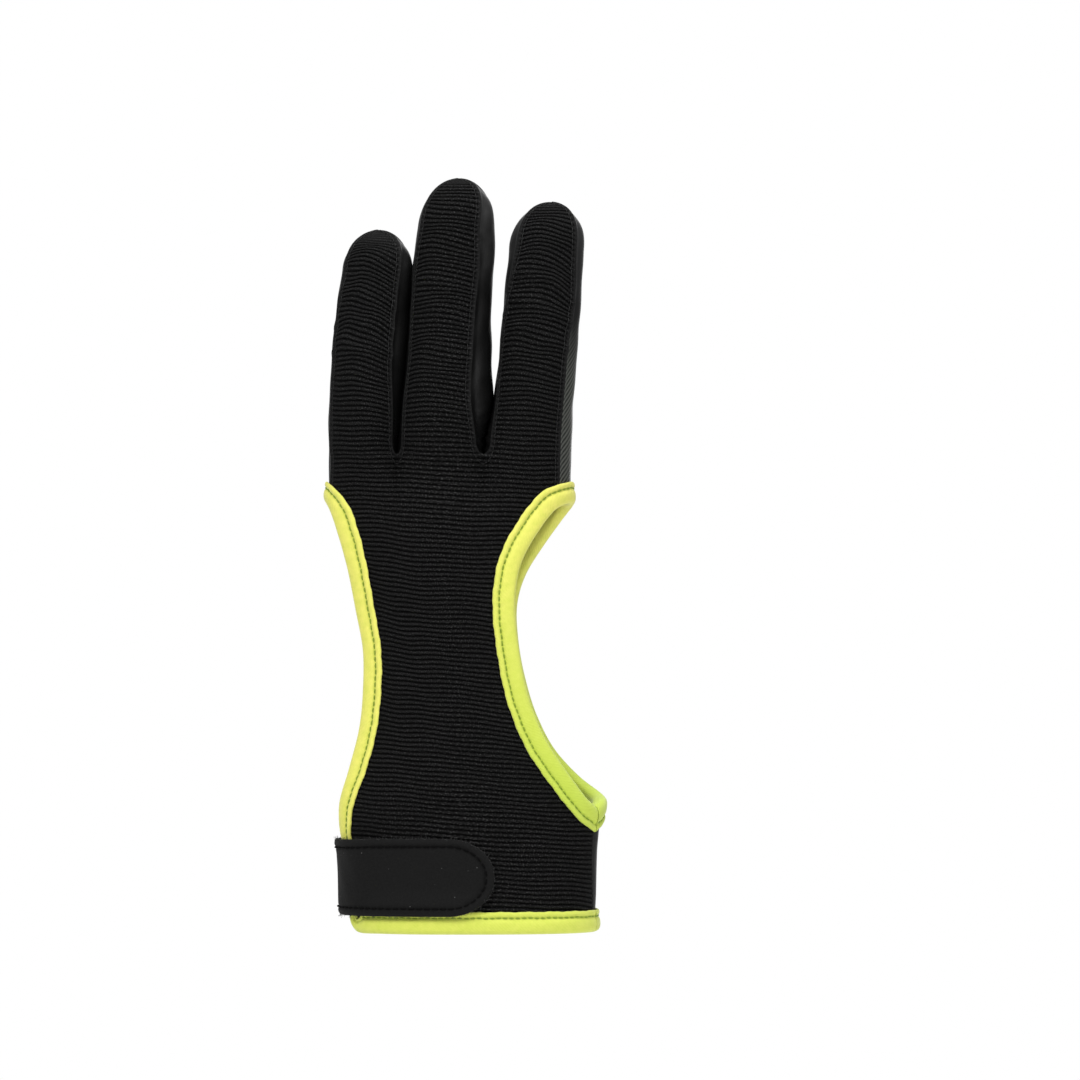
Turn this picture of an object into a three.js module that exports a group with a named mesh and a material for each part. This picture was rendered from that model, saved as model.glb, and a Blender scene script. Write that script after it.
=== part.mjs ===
// Archery glove for a left hand: ring, middle and index finger are covered, thumb and little finger are bare.
// Millimetres, +Z runs from the wrist to the fingertips, -Y is the back of the hand, +X is the thumb side.
// The origin is the middle of the wrist opening at the lower edge of the hem.

import * as THREE from 'three';

// Driving sizes
const HAND_LENGTH = 132;
const HAND_WIDTH = 67.2;
const WRIST_DEPTH = 41;
const RING_LENGTH = 62.4;
const MIDDLE_LENGTH = 76.8;
const INDEX_LENGTH = 70.2;
const FINGER_DEPTH = 21;
const FINGER_BEND = 5;
const WEB_RISE = 4.2;
const CLOTH_WALL = 1.2;
const SEAM_GAP = 0.3;
const TAPE_WIDTH = 6.1;
const TAPE_WALL = 0.8;
const TAPE_EASE = 0.4;
const TAPE_INNER_EASE = 0.7;
const HEM_CORNER_RADIUS = 4.2;
const STRAP_HEIGHT = 21.4;
const STRAP_WALL = 1.6;
const STRAP_FOOT = 4.9;
const STRAP_TIP_LENGTH = 12.5;
const STRAP_CLEARANCE = 0.3;
const STRAP_SLOPE = 7;

// Shares of those sizes: how much further the tape reaches down at its joint, how much of the hem's
// corner radius it may cover, and where the rows of cloth beside that corner lie
const TAPE_SEAM_RUN = 1.18;
const HEM_CORNER_REACH = 0.94;
const HEM_CORNER_ROW = 0.7;
// Half gaps that each end of a tape stands back from the seam it is joined at
const TAPE_END_GAPS = 1.5;

// Mesh fineness
const LANE_COLUMNS = 6;
const WALL_COLUMNS = 6;
const WEB_ROWS = 3;
const FINGER_ROWS = 6;
const SIDE_ROWS = 3;
const OPENING_ROWS = 14;
const CUFF_ROWS = 4;
const TIP_ANGLES = [25, 45, 62, 80];
const THUMB_TAPE_STEPS = 42;
const SIDE_TAPE_STEPS = 72;
const STRAP_TIP_STEPS = 5;
const STRAP_STEPS = 20;
const HEM_STEPS = 8;
const FINE_STEPS = 900;
// A tape station stands for this length of straight edge or this bend in radians
const STRAIGHT_STEP = 11;
const BEND_STEP = 0.22;
const CORNER_STEPS = 4;
const SEAM_PULL_STEPS = 3;
// The strap's tip starts flat, this far round its end in degrees
const STRAP_TIP_START = 12;
// Cloth rows this close above the lowest corner of the thumb opening are left to the corner
const CORNER_CLEAR = 1;
// Steps for measuring which way the skin faces, in degrees and in millimetres
const NORMAL_TURN_STEP = 0.5;
const NORMAL_HEIGHT_STEP = 0.25;
// Sharp corners of a panel are pulled back from its seams no further than this allows
const SHARPEST_MITRE = 0.6;
// Shares of the strap's height for its rows
const STRAP_SHARES = [0, 0.08, 0.2, 0.42, 0.7, 1];

// Section shapes: 2 is an ellipse, more is squarer
const HAND_POWER = 2.4;
const FINGER_POWER = 2.2;

// Where the highest line of the back lies, as a share of the width from the little-finger side
const BACK_CREST = 0.45;
// The knuckles fade in between this share of the hand length and the webs
const KNUCKLE_START = 0.8;
// The lane edge at a web lies this far out on its finger's section
const WEB_REACH = 0.9;
// Where each finger's rounded tip starts, as a share of its length
const TIP_START = 0.825;

// Hand sections: up is a share of HAND_LENGTH, left and right of HAND_WIDTH, deep of WRIST_DEPTH
const HAND_ROWS = [
  { up: 0.0, left: -0.501, right: 0.501, deep: 1.0 },
  { up: 0.034, left: -0.509, right: 0.503, deep: 1.0 },
  { up: 0.165, left: -0.517, right: 0.512, deep: 0.98 },
  { up: 0.225, left: -0.544, right: 0.524, deep: 0.96 },
  { up: 0.276, left: -0.557, right: 0.531, deep: 0.94 },
  { up: 0.339, left: -0.536, right: 0.517, deep: 0.9 },
  { up: 0.423, left: -0.501, right: 0.474, deep: 0.86 },
  { up: 0.507, left: -0.485, right: 0.433, deep: 0.82 },
  { up: 0.592, left: -0.485, right: 0.4, deep: 0.79 },
  { up: 0.676, left: -0.512, right: 0.384, deep: 0.76 },
  { up: 0.76, left: -0.548, right: 0.383, deep: 0.72 },
  { up: 0.844, left: -0.588, right: 0.391, deep: 0.68 },
  { up: 0.907, left: -0.596, right: 0.4, deep: 0.65 },
  { up: 1.0, left: -0.596, right: 0.404, deep: 0.63 },
];

// Finger sections: up is a share of the finger's length, left and right of its width at the web,
// deep of FINGER_DEPTH. Crest is where the back is highest, as a share from left to right. Back_left
// and back_right are the seams of the back, as shares of the way from the crest to the side.
const RING_ROWS = [
  { up: 0.07, left: -0.53, right: 0.463, crest: 0.46, back_left: 0.9, back_right: 0.88, deep: 1.0 },
  { up: 0.25, left: -0.551, right: 0.463, crest: 0.45, back_left: 0.9, back_right: 0.82, deep: 0.97 },
  { up: 0.47, left: -0.553, right: 0.469, crest: 0.45, back_left: 0.9, back_right: 0.74, deep: 0.94 },
  { up: 0.69, left: -0.525, right: 0.497, crest: 0.45, back_left: 0.9, back_right: 0.725, deep: 0.86 },
  { up: 0.825, left: -0.478, right: 0.522, crest: 0.45, back_left: 0.9, back_right: 0.72, deep: 0.8 },
];
const MIDDLE_ROWS = [
  { up: 0.058, left: -0.487, right: 0.48, crest: 0.47, back_left: 0.9, back_right: 0.8, deep: 1.0 },
  { up: 0.2, left: -0.472, right: 0.533, crest: 0.43, back_left: 0.92, back_right: 0.61, deep: 0.98 },
  { up: 0.38, left: -0.447, right: 0.513, crest: 0.4, back_left: 0.92, back_right: 0.62, deep: 0.95 },
  { up: 0.56, left: -0.445, right: 0.48, crest: 0.41, back_left: 0.92, back_right: 0.67, deep: 0.9 },
  { up: 0.7, left: -0.436, right: 0.49, crest: 0.43, back_left: 0.92, back_right: 0.67, deep: 0.87 },
  { up: 0.825, left: -0.407, right: 0.472, crest: 0.45, back_left: 0.9, back_right: 0.64, deep: 0.82 },
];
const INDEX_ROWS = [
  { up: 0.063, left: -0.496, right: 0.49, crest: 0.5, back_left: 0.84, back_right: 0.72, deep: 1.0 },
  { up: 0.22, left: -0.439, right: 0.475, crest: 0.47, back_left: 0.92, back_right: 0.735, deep: 0.98 },
  { up: 0.42, left: -0.425, right: 0.471, crest: 0.45, back_left: 0.93, back_right: 0.745, deep: 0.94 },
  { up: 0.62, left: -0.423, right: 0.462, crest: 0.46, back_left: 0.89, back_right: 0.81, deep: 0.88 },
  { up: 0.825, left: -0.415, right: 0.447, crest: 0.5, back_left: 0.77, back_right: 0.76, deep: 0.81 },
];

// Ring, middle and index finger: from and to are shares of HAND_WIDTH at the webs, lean is the sideways
// travel per length
const FINGERS = [
  { from: 0, to: 0.281, length: RING_LENGTH, lean: 0.062, rows: RING_ROWS },
  { from: 0.281, to: 0.64, length: MIDDLE_LENGTH, lean: 0.056, rows: MIDDLE_ROWS },
  { from: 0.64, to: 1, length: INDEX_LENGTH, lean: 0.085, rows: INDEX_ROWS },
];

// The edge of the thumb opening, from its lowest corner up the back, over the top and down the palm.
// Turn is the angle round the hand in degrees: 0 thumb side, 90 back, 180 little finger, negative on the
// palm. Up is a share of HAND_LENGTH.
const THUMB_EDGE = [
  { turn: 21, up: 0.266 },
  { turn: 29.5, up: 0.282 },
  { turn: 39, up: 0.318 },
  { turn: 46.5, up: 0.36 },
  { turn: 52, up: 0.402 },
  { turn: 55.5, up: 0.444 },
  { turn: 58.5, up: 0.507 },
  { turn: 59.5, up: 0.592 },
  { turn: 59.3, up: 0.676 },
  { turn: 57.5, up: 0.73 },
  { turn: 54, up: 0.775 },
  { turn: 48, up: 0.815 },
  { turn: 42, up: 0.844 },
  { turn: 36, up: 0.868 },
  { turn: 28, up: 0.888 },
  { turn: 14, up: 0.898 },
  { turn: -2, up: 0.895 },
  { turn: -16, up: 0.88 },
  { turn: -31, up: 0.847 },
  { turn: -45, up: 0.802 },
  { turn: -57, up: 0.75 },
  { turn: -64, up: 0.69 },
  { turn: -66, up: 0.613 },
  { turn: -65, up: 0.528 },
  { turn: -61, up: 0.444 },
  { turn: -52, up: 0.37 },
  { turn: -36, up: 0.318 },
  { turn: -16, up: 0.292 },
  { turn: 4, up: 0.279 },
  { turn: 21, up: 0.266 },
];

// The edge of the little-finger side, from the hem corner up the back, over the top and down the palm
const SIDE_EDGE = [
  { turn: 164, up: 0.1 },
  { turn: 164, up: 0.17 },
  { turn: 159.5, up: 0.215 },
  { turn: 157, up: 0.276 },
  { turn: 155, up: 0.339 },
  { turn: 154, up: 0.423 },
  { turn: 152.5, up: 0.55 },
  { turn: 153.5, up: 0.676 },
  { turn: 153.5, up: 0.77 },
  { turn: 154.5, up: 0.825 },
  { turn: 159, up: 0.862 },
  { turn: 168, up: 0.889 },
  { turn: 180, up: 0.899 },
  { turn: 192, up: 0.889 },
  { turn: 201, up: 0.862 },
  { turn: 205.5, up: 0.825 },
  { turn: 206.5, up: 0.77 },
  { turn: 206.5, up: 0.676 },
  { turn: 207.5, up: 0.55 },
  { turn: 206, up: 0.423 },
  { turn: 205, up: 0.339 },
  { turn: 203, up: 0.276 },
  { turn: 200.5, up: 0.215 },
  { turn: 196, up: 0.17 },
  { turn: 196, up: 0.1 },
];

// Turn of the wrist seam at the lowest corner of the thumb opening and at the hem
const SEAM_TURN_TOP = 21;
const SEAM_TURN_HEM = 13.5;
// The strap runs from its free tip on the back round the little-finger side to its sewn end on the palm
const STRAP_TIP_TURN = 79;
const STRAP_SEWN_TURN = 238;

const DEGREE = Math.PI / 180;

function mix(from, to, share) {
  return from + (to - from) * share;
}

function smoothStep(from, to, value) {
  const share = Math.min(Math.max((value - from) / (to - from), 0), 1);
  return share * share * (3 - 2 * share);
}

// Power that keeps the sign
function bent(value, power) {
  return Math.sign(value) * Math.abs(value) ** power;
}

// Reads one column of a table smoothly between its rows
function read(table, column, up) {
  const last = table.length - 1;
  if (up <= table[0].up) return table[0][column];
  if (up >= table[last].up) return table[last][column];
  let row = 0;
  while (table[row + 1].up < up) row += 1;
  const slope = (index) => {
    const before = table[Math.max(index - 1, 0)];
    const after = table[Math.min(index + 1, last)];
    return (after[column] - before[column]) / (after.up - before.up);
  };
  const span = table[row + 1].up - table[row].up;
  const t = (up - table[row].up) / span;
  const start = table[row][column] * (1 + 2 * t) * (1 - t) * (1 - t);
  const end = table[row + 1][column] * t * t * (3 - 2 * t);
  const leaving = slope(row) * span * t * (1 - t) * (1 - t);
  const arriving = slope(row + 1) * span * t * t * (t - 1);
  return start + end + leaving + arriving;
}

// Shape of the hand and the fingers

function handSection(height) {
  const up = height / HAND_LENGTH;
  const left = read(HAND_ROWS, 'left', up) * HAND_WIDTH;
  const right = read(HAND_ROWS, 'right', up) * HAND_WIDTH;
  return { left, right, half: (read(HAND_ROWS, 'deep', up) * WRIST_DEPTH) / 2 };
}

const WEB_SECTION = handSection(HAND_LENGTH);

function crestOf(section, onBack) {
  return mix(section.left, section.right, onBack ? BACK_CREST : 1 - BACK_CREST);
}

// Depth of a section, 1 at the crest and 0 at the sides, at a reach of -1 to 1 from the crest
function roundness(reach, power) {
  return Math.max(1 - Math.abs(reach) ** power, 0) ** (1 / power);
}

function laneOf(finger) {
  const left = mix(WEB_SECTION.left, WEB_SECTION.right, finger.from);
  const right = mix(WEB_SECTION.left, WEB_SECTION.right, finger.to);
  return { left, right, middle: (left + right) / 2, width: right - left };
}

// A finger's section where it grows out of the hand. A side that faces another finger reaches past the lane.
function rootSection(finger, onBack) {
  const lane = laneOf(finger);
  const outerLeft = finger.from === 0;
  const outerRight = finger.to === 1;
  const first = finger.rows[0];
  const leftSeam = onBack ? first.back_left : first.back_right;
  const rightSeam = onBack ? first.back_right : first.back_left;
  return {
    left: lane.middle - (lane.width / 2) / (outerLeft ? 1 : WEB_REACH),
    right: lane.middle + (lane.width / 2) / (outerRight ? 1 : WEB_REACH),
    crest: lane.middle,
    seamLeft: outerLeft ? leftSeam : WEB_REACH,
    seamRight: outerRight ? rightSeam : WEB_REACH,
    half: FINGER_DEPTH / 2,
    middle: 0,
    height: HAND_LENGTH,
  };
}

// A finger's section at a share of its length, as seen on its back or on its palm side. Closing is 1
// along the finger and falls to 0 round its tip.
function fingerSection(finger, along, onBack) {
  const lane = laneOf(finger);
  const inTip = along > TIP_START;
  const lastAngle = TIP_ANGLES[TIP_ANGLES.length - 1];
  const tip = inTip ? (along - TIP_START) / (1 - TIP_START) : 0;
  const angle = tip * lastAngle;
  const tipShare = Math.sin(angle * DEGREE) / Math.sin(lastAngle * DEGREE);
  const up = inTip ? mix(TIP_START, 1, tipShare) : along;
  const close = Math.cos(angle * DEGREE);
  const flatten = Math.cos((angle * 90 * DEGREE) / lastAngle);
  const axis = lane.middle + finger.lean * finger.length * up;
  const at = Math.min(up, TIP_START);
  const leftEdge = axis + read(finger.rows, 'left', at) * lane.width;
  const rightEdge = axis + read(finger.rows, 'right', at) * lane.width;
  const centre = (leftEdge + rightEdge) / 2;
  const crestShare = mix(read(finger.rows, 'crest', at), 0.5, tip);
  const seamClose = tip ** 1.5;
  const left = mix(centre, leftEdge, close);
  const right = mix(centre, rightEdge, close);
  const backLeft = read(finger.rows, 'back_left', at);
  const backRight = read(finger.rows, 'back_right', at);
  const full = {
    left,
    right,
    crest: mix(left, right, onBack ? crestShare : 1 - crestShare),
    seamLeft: mix(onBack ? backLeft : backRight, 1, seamClose),
    seamRight: mix(onBack ? backRight : backLeft, 1, seamClose),
    half: (read(finger.rows, 'deep', at) * FINGER_DEPTH * flatten) / 2,
    middle: FINGER_BEND * up * up,
    height: HAND_LENGTH + finger.length * up,
  };
  const rise = finger.length * up;
  if (rise >= WEB_RISE) return full;
  const root = rootSection(finger, onBack);
  const share = Math.sqrt(1 - (1 - rise / WEB_RISE) ** 2);
  const top = fingerSection(finger, WEB_RISE / finger.length, onBack);
  const section = {};
  for (const key of Object.keys(root)) section[key] = mix(root[key], top[key], share);
  section.height = full.height;
  section.middle = full.middle;
  return section;
}

// Turn round a finger of a seam that lies at a reach of its section
function turnOfReach(reach, power, onBack) {
  const across = bent(reach, power / 2);
  const deep = Math.sqrt(Math.max(1 - across * across, 0));
  return Math.atan2(onBack ? deep : -deep, across);
}

function fingerPoint(finger, turn, along) {
  const onBack = Math.sin(turn) >= 0;
  const section = fingerSection(finger, along, onBack);
  const across = bent(Math.cos(turn), 2 / FINGER_POWER);
  const deep = bent(Math.sin(turn), 2 / FINGER_POWER);
  const width = across > 0 ? section.right - section.crest : section.crest - section.left;
  const x = section.crest + width * across;
  return new THREE.Vector3(x, section.middle - section.half * deep, section.height);
}

// Depth of the three finger roots at a place across the webs
function rootDepth(x, onBack) {
  const inLane = FINGERS.find((finger) => x <= laneOf(finger).right) ?? FINGERS[FINGERS.length - 1];
  const root = rootSection(inLane, onBack);
  const width = x > root.crest ? root.right - root.crest : root.crest - root.left;
  return root.half * roundness((x - root.crest) / width, FINGER_POWER);
}

function handPoint(turn, height) {
  const onBack = Math.sin(turn) >= 0;
  const across = bent(Math.cos(turn), 2 / HAND_POWER);
  const deep = Math.abs(Math.sin(turn)) ** (2 / HAND_POWER);
  const place = (section) => {
    const crest = crestOf(section, onBack);
    return crest + across * (across > 0 ? section.right - crest : crest - section.left);
  };
  const section = handSection(height);
  const knuckle = smoothStep(KNUCKLE_START, 1, height / HAND_LENGTH);
  const depth = mix(section.half * deep, rootDepth(place(WEB_SECTION), onBack), knuckle);
  return new THREE.Vector3(place(section), onBack ? -depth : depth, height);
}

// Turn round the hand of a place across the webs
function turnAtWeb(x, onBack) {
  const crest = crestOf(WEB_SECTION, onBack);
  const width = x > crest ? WEB_SECTION.right - crest : crest - WEB_SECTION.left;
  return turnOfReach((x - crest) / width, HAND_POWER, onBack);
}

// Turn round the hand of a point that lies on its skin or a few millimetres off it
function turnOfPoint(point) {
  const section = handSection(point.z);
  const crest = crestOf(section, point.y < 0);
  const width = point.x > crest ? section.right - crest : crest - section.left;
  const across = bent((point.x - crest) / width, HAND_POWER / 2);
  const deep = bent(-point.y / section.half, HAND_POWER / 2);
  return Math.atan2(deep, across);
}

function handNormal(turn, height) {
  const turnStep = NORMAL_TURN_STEP * DEGREE;
  const round = handPoint(turn + turnStep, height).sub(handPoint(turn - turnStep, height));
  const above = handPoint(turn, height + NORMAL_HEIGHT_STEP);
  const rising = above.sub(handPoint(turn, height - NORMAL_HEIGHT_STEP));
  return rising.cross(round).normalize();
}

// Edges that the tape binds

const SKIN_ARM = WRIST_DEPTH / 2;
// Where the cloth ends inside the folded tape
const CLOTH_EDGE = TAPE_WALL + 2 * TAPE_EASE;
const FULL_TURN = 2 * Math.PI;

// Smooth line through turns and heights, as stations that lie closer together where the line or the
// skin under it bends
function stationsAlong(knots, steps) {
  const flat = knots.map((knot) => new THREE.Vector3(knot.turn * SKIN_ARM, knot.height, 0));
  const curve = new THREE.CatmullRomCurve3(flat, false, 'centripetal');
  curve.arcLengthDivisions = FINE_STEPS;
  const fine = curve.getSpacedPoints(FINE_STEPS).map((point) => {
    return { turn: point.x / SKIN_ARM, height: point.y };
  });
  const points = fine.map((station) => handPoint(station.turn, station.height));
  const normals = fine.map((station) => handNormal(station.turn, station.height));
  const efforts = [0];
  for (let index = 1; index < fine.length; index += 1) {
    const before = points[Math.max(index - 2, 0)];
    const run = points[index].clone().sub(points[index - 1]);
    const bend = run.angleTo(points[index - 1].clone().sub(before)) || 0;
    const roll = normals[index].angleTo(normals[index - 1]);
    efforts.push(efforts[index - 1] + run.length() / STRAIGHT_STEP + (bend + roll) / BEND_STEP);
  }
  const stations = [];
  for (let step = 0; step <= steps; step += 1) {
    const wanted = (efforts[FINE_STEPS] * step) / steps;
    const next = Math.max(efforts.findIndex((effort) => effort >= wanted - 1e-9), 1);
    const share = Math.min((wanted - efforts[next - 1]) / (efforts[next] - efforts[next - 1] || 1), 1);
    stations.push({
      turn: mix(fine[next - 1].turn, fine[next].turn, share),
      height: mix(fine[next - 1].height, fine[next].height, share),
    });
  }
  return stations;
}

function knotsOf(table) {
  return table.map((row) => ({ turn: row.turn * DEGREE, height: row.up * HAND_LENGTH }));
}

// At each station: the point, and the directions along the edge, out of the hand and over the cloth
function framesAlong(stations, clothSide) {
  const points = stations.map((station) => handPoint(station.turn, station.height));
  return stations.map((station, index) => {
    const before = points[Math.max(index - 1, 0)];
    const after = points[Math.min(index + 1, points.length - 1)];
    const along = after.clone().sub(before).normalize();
    const out = handNormal(station.turn, station.height);
    const over = out.clone().cross(along).multiplyScalar(clothSide).normalize();
    return { point: points[index], along, over };
  });
}

// Nearest full turn to a wanted one
function unwrapped(turn, near) {
  return turn + Math.round((near - turn) / FULL_TURN) * FULL_TURN;
}

// An edge moved over the cloth
function movedEdge(stations, clothSide, distance) {
  return framesAlong(stations, clothSide).map((frame, index) => {
    const moved = frame.point.clone().addScaledVector(frame.over, distance);
    return { turn: unwrapped(turnOfPoint(moved), stations[index].turn), height: moved.z };
  });
}

function turnAt(edge, height) {
  const sorted = [...edge].sort((a, b) => a.height - b.height);
  const next = sorted.findIndex((station) => station.height >= height);
  if (next < 0) return sorted[sorted.length - 1].turn;
  if (next === 0) return sorted[0].turn;
  const from = sorted[next - 1];
  const to = sorted[next];
  return mix(from.turn, to.turn, (height - from.height) / (to.height - from.height));
}

// Highest place where an edge passes a turn
function heightAt(edge, turn) {
  let highest = -Infinity;
  for (let index = 1; index < edge.length; index += 1) {
    const from = edge[index - 1];
    const to = edge[index];
    if ((from.turn - turn) * (to.turn - turn) > 0 || from.turn === to.turn) continue;
    highest = Math.max(highest, mix(from.height, to.height, (turn - from.turn) / (to.turn - from.turn)));
  }
  return highest;
}

function seamTurn(height) {
  const top = THUMB_EDGE[0].up * HAND_LENGTH;
  return mix(SEAM_TURN_HEM, SEAM_TURN_TOP, Math.min(height / top, 1)) * DEGREE;
}

// Which way the cloth lies from each edge line: 1 to the left of its travel, -1 to the right
const THUMB_CLOTH_SIDE = 1;
const SIDE_CLOTH_SIDE = -1;

const THUMB_STATIONS = stationsAlong(knotsOf(THUMB_EDGE), THUMB_TAPE_STEPS);
const THUMB_CLOTH = movedEdge(THUMB_STATIONS, THUMB_CLOTH_SIDE, CLOTH_EDGE);
const SIDE_STATIONS = stationsAlong(knotsOf(SIDE_EDGE), THUMB_TAPE_STEPS);
const SIDE_CLOTH = movedEdge(SIDE_STATIONS, SIDE_CLOTH_SIDE, CLOTH_EDGE);

// Half of an edge: the part on the back, or the part on the palm
function halfEdge(edge, onBack) {
  const heights = edge.map((station) => station.height);
  const top = heights.indexOf(Math.max(...heights));
  return onBack ? edge.slice(0, top + 1) : edge.slice(top);
}

// Cloth edge at the lowest corner of the thumb opening, where it meets the wrist seam
function cornerCloth(onBack) {
  const frames = framesAlong(THUMB_STATIONS, THUMB_CLOTH_SIDE);
  const frame = onBack ? frames[0] : frames[frames.length - 1];
  const slant = Math.sqrt(1 - frame.along.z * frame.along.z);
  const height = THUMB_EDGE[0].up * HAND_LENGTH - CLOTH_EDGE / slant;
  return { turn: seamTurn(height), height };
}

const CUFF_TOP = Math.min(cornerCloth(true).height, cornerCloth(false).height);

function thumbClothTurn(height, onBack) {
  if (height <= CUFF_TOP) return seamTurn(height) + (onBack ? 0 : FULL_TURN);
  const corner = { turn: seamTurn(CUFF_TOP), height: CUFF_TOP };
  const half = halfEdge(THUMB_CLOTH, onBack).filter((station) => station.height > CUFF_TOP + CORNER_CLEAR);
  return turnAt([corner, ...half], height) + (onBack ? 0 : FULL_TURN);
}

function sideClothTurn(height, onBack) {
  const half = halfEdge(SIDE_CLOTH, onBack);
  if (height >= HEM_CORNER_RADIUS) return turnAt(half, height);
  const inner = HEM_CORNER_RADIUS - CLOTH_EDGE;
  const drop = Math.min(HEM_CORNER_RADIUS - height, inner);
  const inwards = (inner - Math.sqrt(inner * inner - drop * drop)) / SKIN_ARM;
  return turnAt(half, HEM_CORNER_RADIUS) + (onBack ? -inwards : inwards);
}

// Skin of the glove: one welded surface that the pieces are cut from

const WELD = 1e-3;
const skinPoints = [];
const skinNormals = [];
const skinKeys = new Map();

function skinVertex(point) {
  const key = [point.x, point.y, point.z].map((value) => Math.round(value / WELD)).join(' ');
  if (!skinKeys.has(key)) {
    skinKeys.set(key, skinPoints.length);
    skinPoints.push(point);
    skinNormals.push(new THREE.Vector3());
  }
  return skinKeys.get(key);
}

function addFace(patch, corners) {
  const face = corners.filter((corner, index) => corner !== corners[(index + 1) % corners.length]);
  if (face.length < 3) return;
  const [first, second, third] = face.map((corner) => skinPoints[corner]);
  const last = skinPoints[face[face.length - 1]];
  const normal = third.clone().sub(first).cross(last.clone().sub(second));
  if (face.length === 3) normal.copy(second.clone().sub(first).cross(third.clone().sub(first)));
  for (const corner of face) skinNormals[corner].add(normal);
  patch.push(face);
}

// Quads between rows of points. Flip turns them round so that they face out.
function addGrid(patch, rows, flip) {
  for (let row = 1; row < rows.length; row += 1) {
    for (let column = 1; column < rows[row].length; column += 1) {
      const quad = [
        rows[row - 1][column - 1], rows[row - 1][column], rows[row][column], rows[row][column - 1],
      ].map(skinVertex);
      addFace(patch, flip ? quad.reverse() : quad);
    }
  }
}

// Shares of a finger's length for the rows from the web to the tip
function fingerShares(finger) {
  const shares = [];
  for (let row = 1; row <= WEB_ROWS; row += 1) {
    const rise = WEB_RISE * (1 - Math.cos((row * Math.PI) / (2 * WEB_ROWS)));
    shares.push(rise / finger.length);
  }
  const first = shares[shares.length - 1];
  for (let row = 1; row <= FINGER_ROWS; row += 1) shares.push(mix(first, TIP_START, row / FINGER_ROWS));
  const last = TIP_ANGLES[TIP_ANGLES.length - 1];
  for (const angle of TIP_ANGLES) shares.push(mix(TIP_START, 1, angle / last));
  return shares;
}

// Turns round a finger of its back's or palm's two seams
function seamTurns(finger, along, onBack) {
  const section = fingerSection(finger, along, onBack);
  const right = turnOfReach(section.seamRight, FINGER_POWER, onBack);
  const left = turnOfReach(-section.seamLeft, FINGER_POWER, onBack);
  return onBack ? { right, left } : { right: right + FULL_TURN, left: left + FULL_TURN };
}

function laneTurns(finger, along, onBack) {
  const seams = seamTurns(finger, along, onBack);
  const turns = [];
  for (let column = 0; column <= LANE_COLUMNS; column += 1) {
    turns.push(mix(seams.right, seams.left, column / LANE_COLUMNS));
  }
  return turns;
}

// Shares of the way down an opening for its rows, close together where the thumb edge lies level
function openingShares(corner, onBack) {
  const heights = halfEdge(THUMB_CLOTH, onBack).map((station) => station.height);
  const between = heights.filter((height) => height < corner && height > CUFF_TOP).sort((x, y) => y - x);
  const stops = [corner, ...between, CUFF_TOP];
  const shares = [];
  for (let row = 1; row <= OPENING_ROWS; row += 1) {
    const place = ((stops.length - 1) * row) / OPENING_ROWS;
    const before = Math.min(Math.floor(place), stops.length - 2);
    const height = mix(stops[before], stops[before + 1], place - before);
    shares.push((corner - height) / (corner - CUFF_TOP));
  }
  return shares;
}

// Heights of the rows below the webs, for a seam that ends at the corner of an opening
function sideHeights(corner, shares) {
  const heights = [];
  for (let row = 1; row <= SIDE_ROWS; row += 1) heights.push(mix(HAND_LENGTH, corner, row / SIDE_ROWS));
  for (const share of shares) heights.push(mix(corner, CUFF_TOP, share));
  for (let row = 1; row <= CUFF_ROWS; row += 1) {
    heights.push(mix(CUFF_TOP, HEM_CORNER_RADIUS, row / CUFF_ROWS));
  }
  heights.push(mix(HEM_CORNER_RADIUS, CLOTH_EDGE, HEM_CORNER_ROW), CLOTH_EDGE);
  return heights;
}

function rootTurns(onBack) {
  const turns = [];
  for (const finger of [...FINGERS].reverse()) {
    const lane = laneTurns(finger, 0, onBack).map((turn) => {
      const x = fingerPoint(finger, turn, 0).x;
      return unwrapped(turnAtWeb(x, onBack), onBack ? Math.PI / 2 : 1.5 * Math.PI);
    });
    turns.push(...(turns.length ? lane.slice(1) : lane));
  }
  return turns;
}

const ROOT_TURNS = { back: rootTurns(true), palm: rootTurns(false) };

// Back or palm: three finger lanes on one hand panel
function panelPatch(onBack) {
  const patch = [];
  for (const finger of FINGERS) {
    const rows = [0, ...fingerShares(finger)].map((along) =>
      laneTurns(finger, along, onBack).map((turn) => fingerPoint(finger, turn, along)));
    addGrid(patch, rows, onBack);
  }
  const turns = onBack ? ROOT_TURNS.back : ROOT_TURNS.palm;
  const rightTurn = turns[0];
  const leftTurn = turns[turns.length - 1];
  const rightCorner = openingCorner(THUMB_CLOTH, rightTurn);
  const shares = openingShares(rightCorner, onBack);
  const rightHeights = sideHeights(rightCorner, shares);
  const leftHeights = sideHeights(openingCorner(SIDE_CLOTH, leftTurn), shares);
  const rows = [turns.map((turn) => handPoint(turn, HAND_LENGTH))];
  rightHeights.forEach((rightHeight, index) => {
    const leftHeight = leftHeights[index];
    const beside = index < SIDE_ROWS;
    const right = beside ? rightTurn : thumbClothTurn(rightHeight, onBack);
    const left = beside ? leftTurn : sideClothTurn(leftHeight, onBack);
    rows.push(turns.map((turn) => {
      const share = (turn - rightTurn) / (leftTurn - rightTurn);
      return handPoint(mix(right, left, share), mix(rightHeight, leftHeight, share));
    }));
  });
  addGrid(patch, rows, !onBack);
  return patch;
}

// Height where the cloth edge of an opening passes a turn, counted round the hand from any start
function openingCorner(edge, turn) {
  return heightAt(edge.map((station) => ({ ...station, turn: unwrapped(station.turn, turn) })), turn);
}

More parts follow.
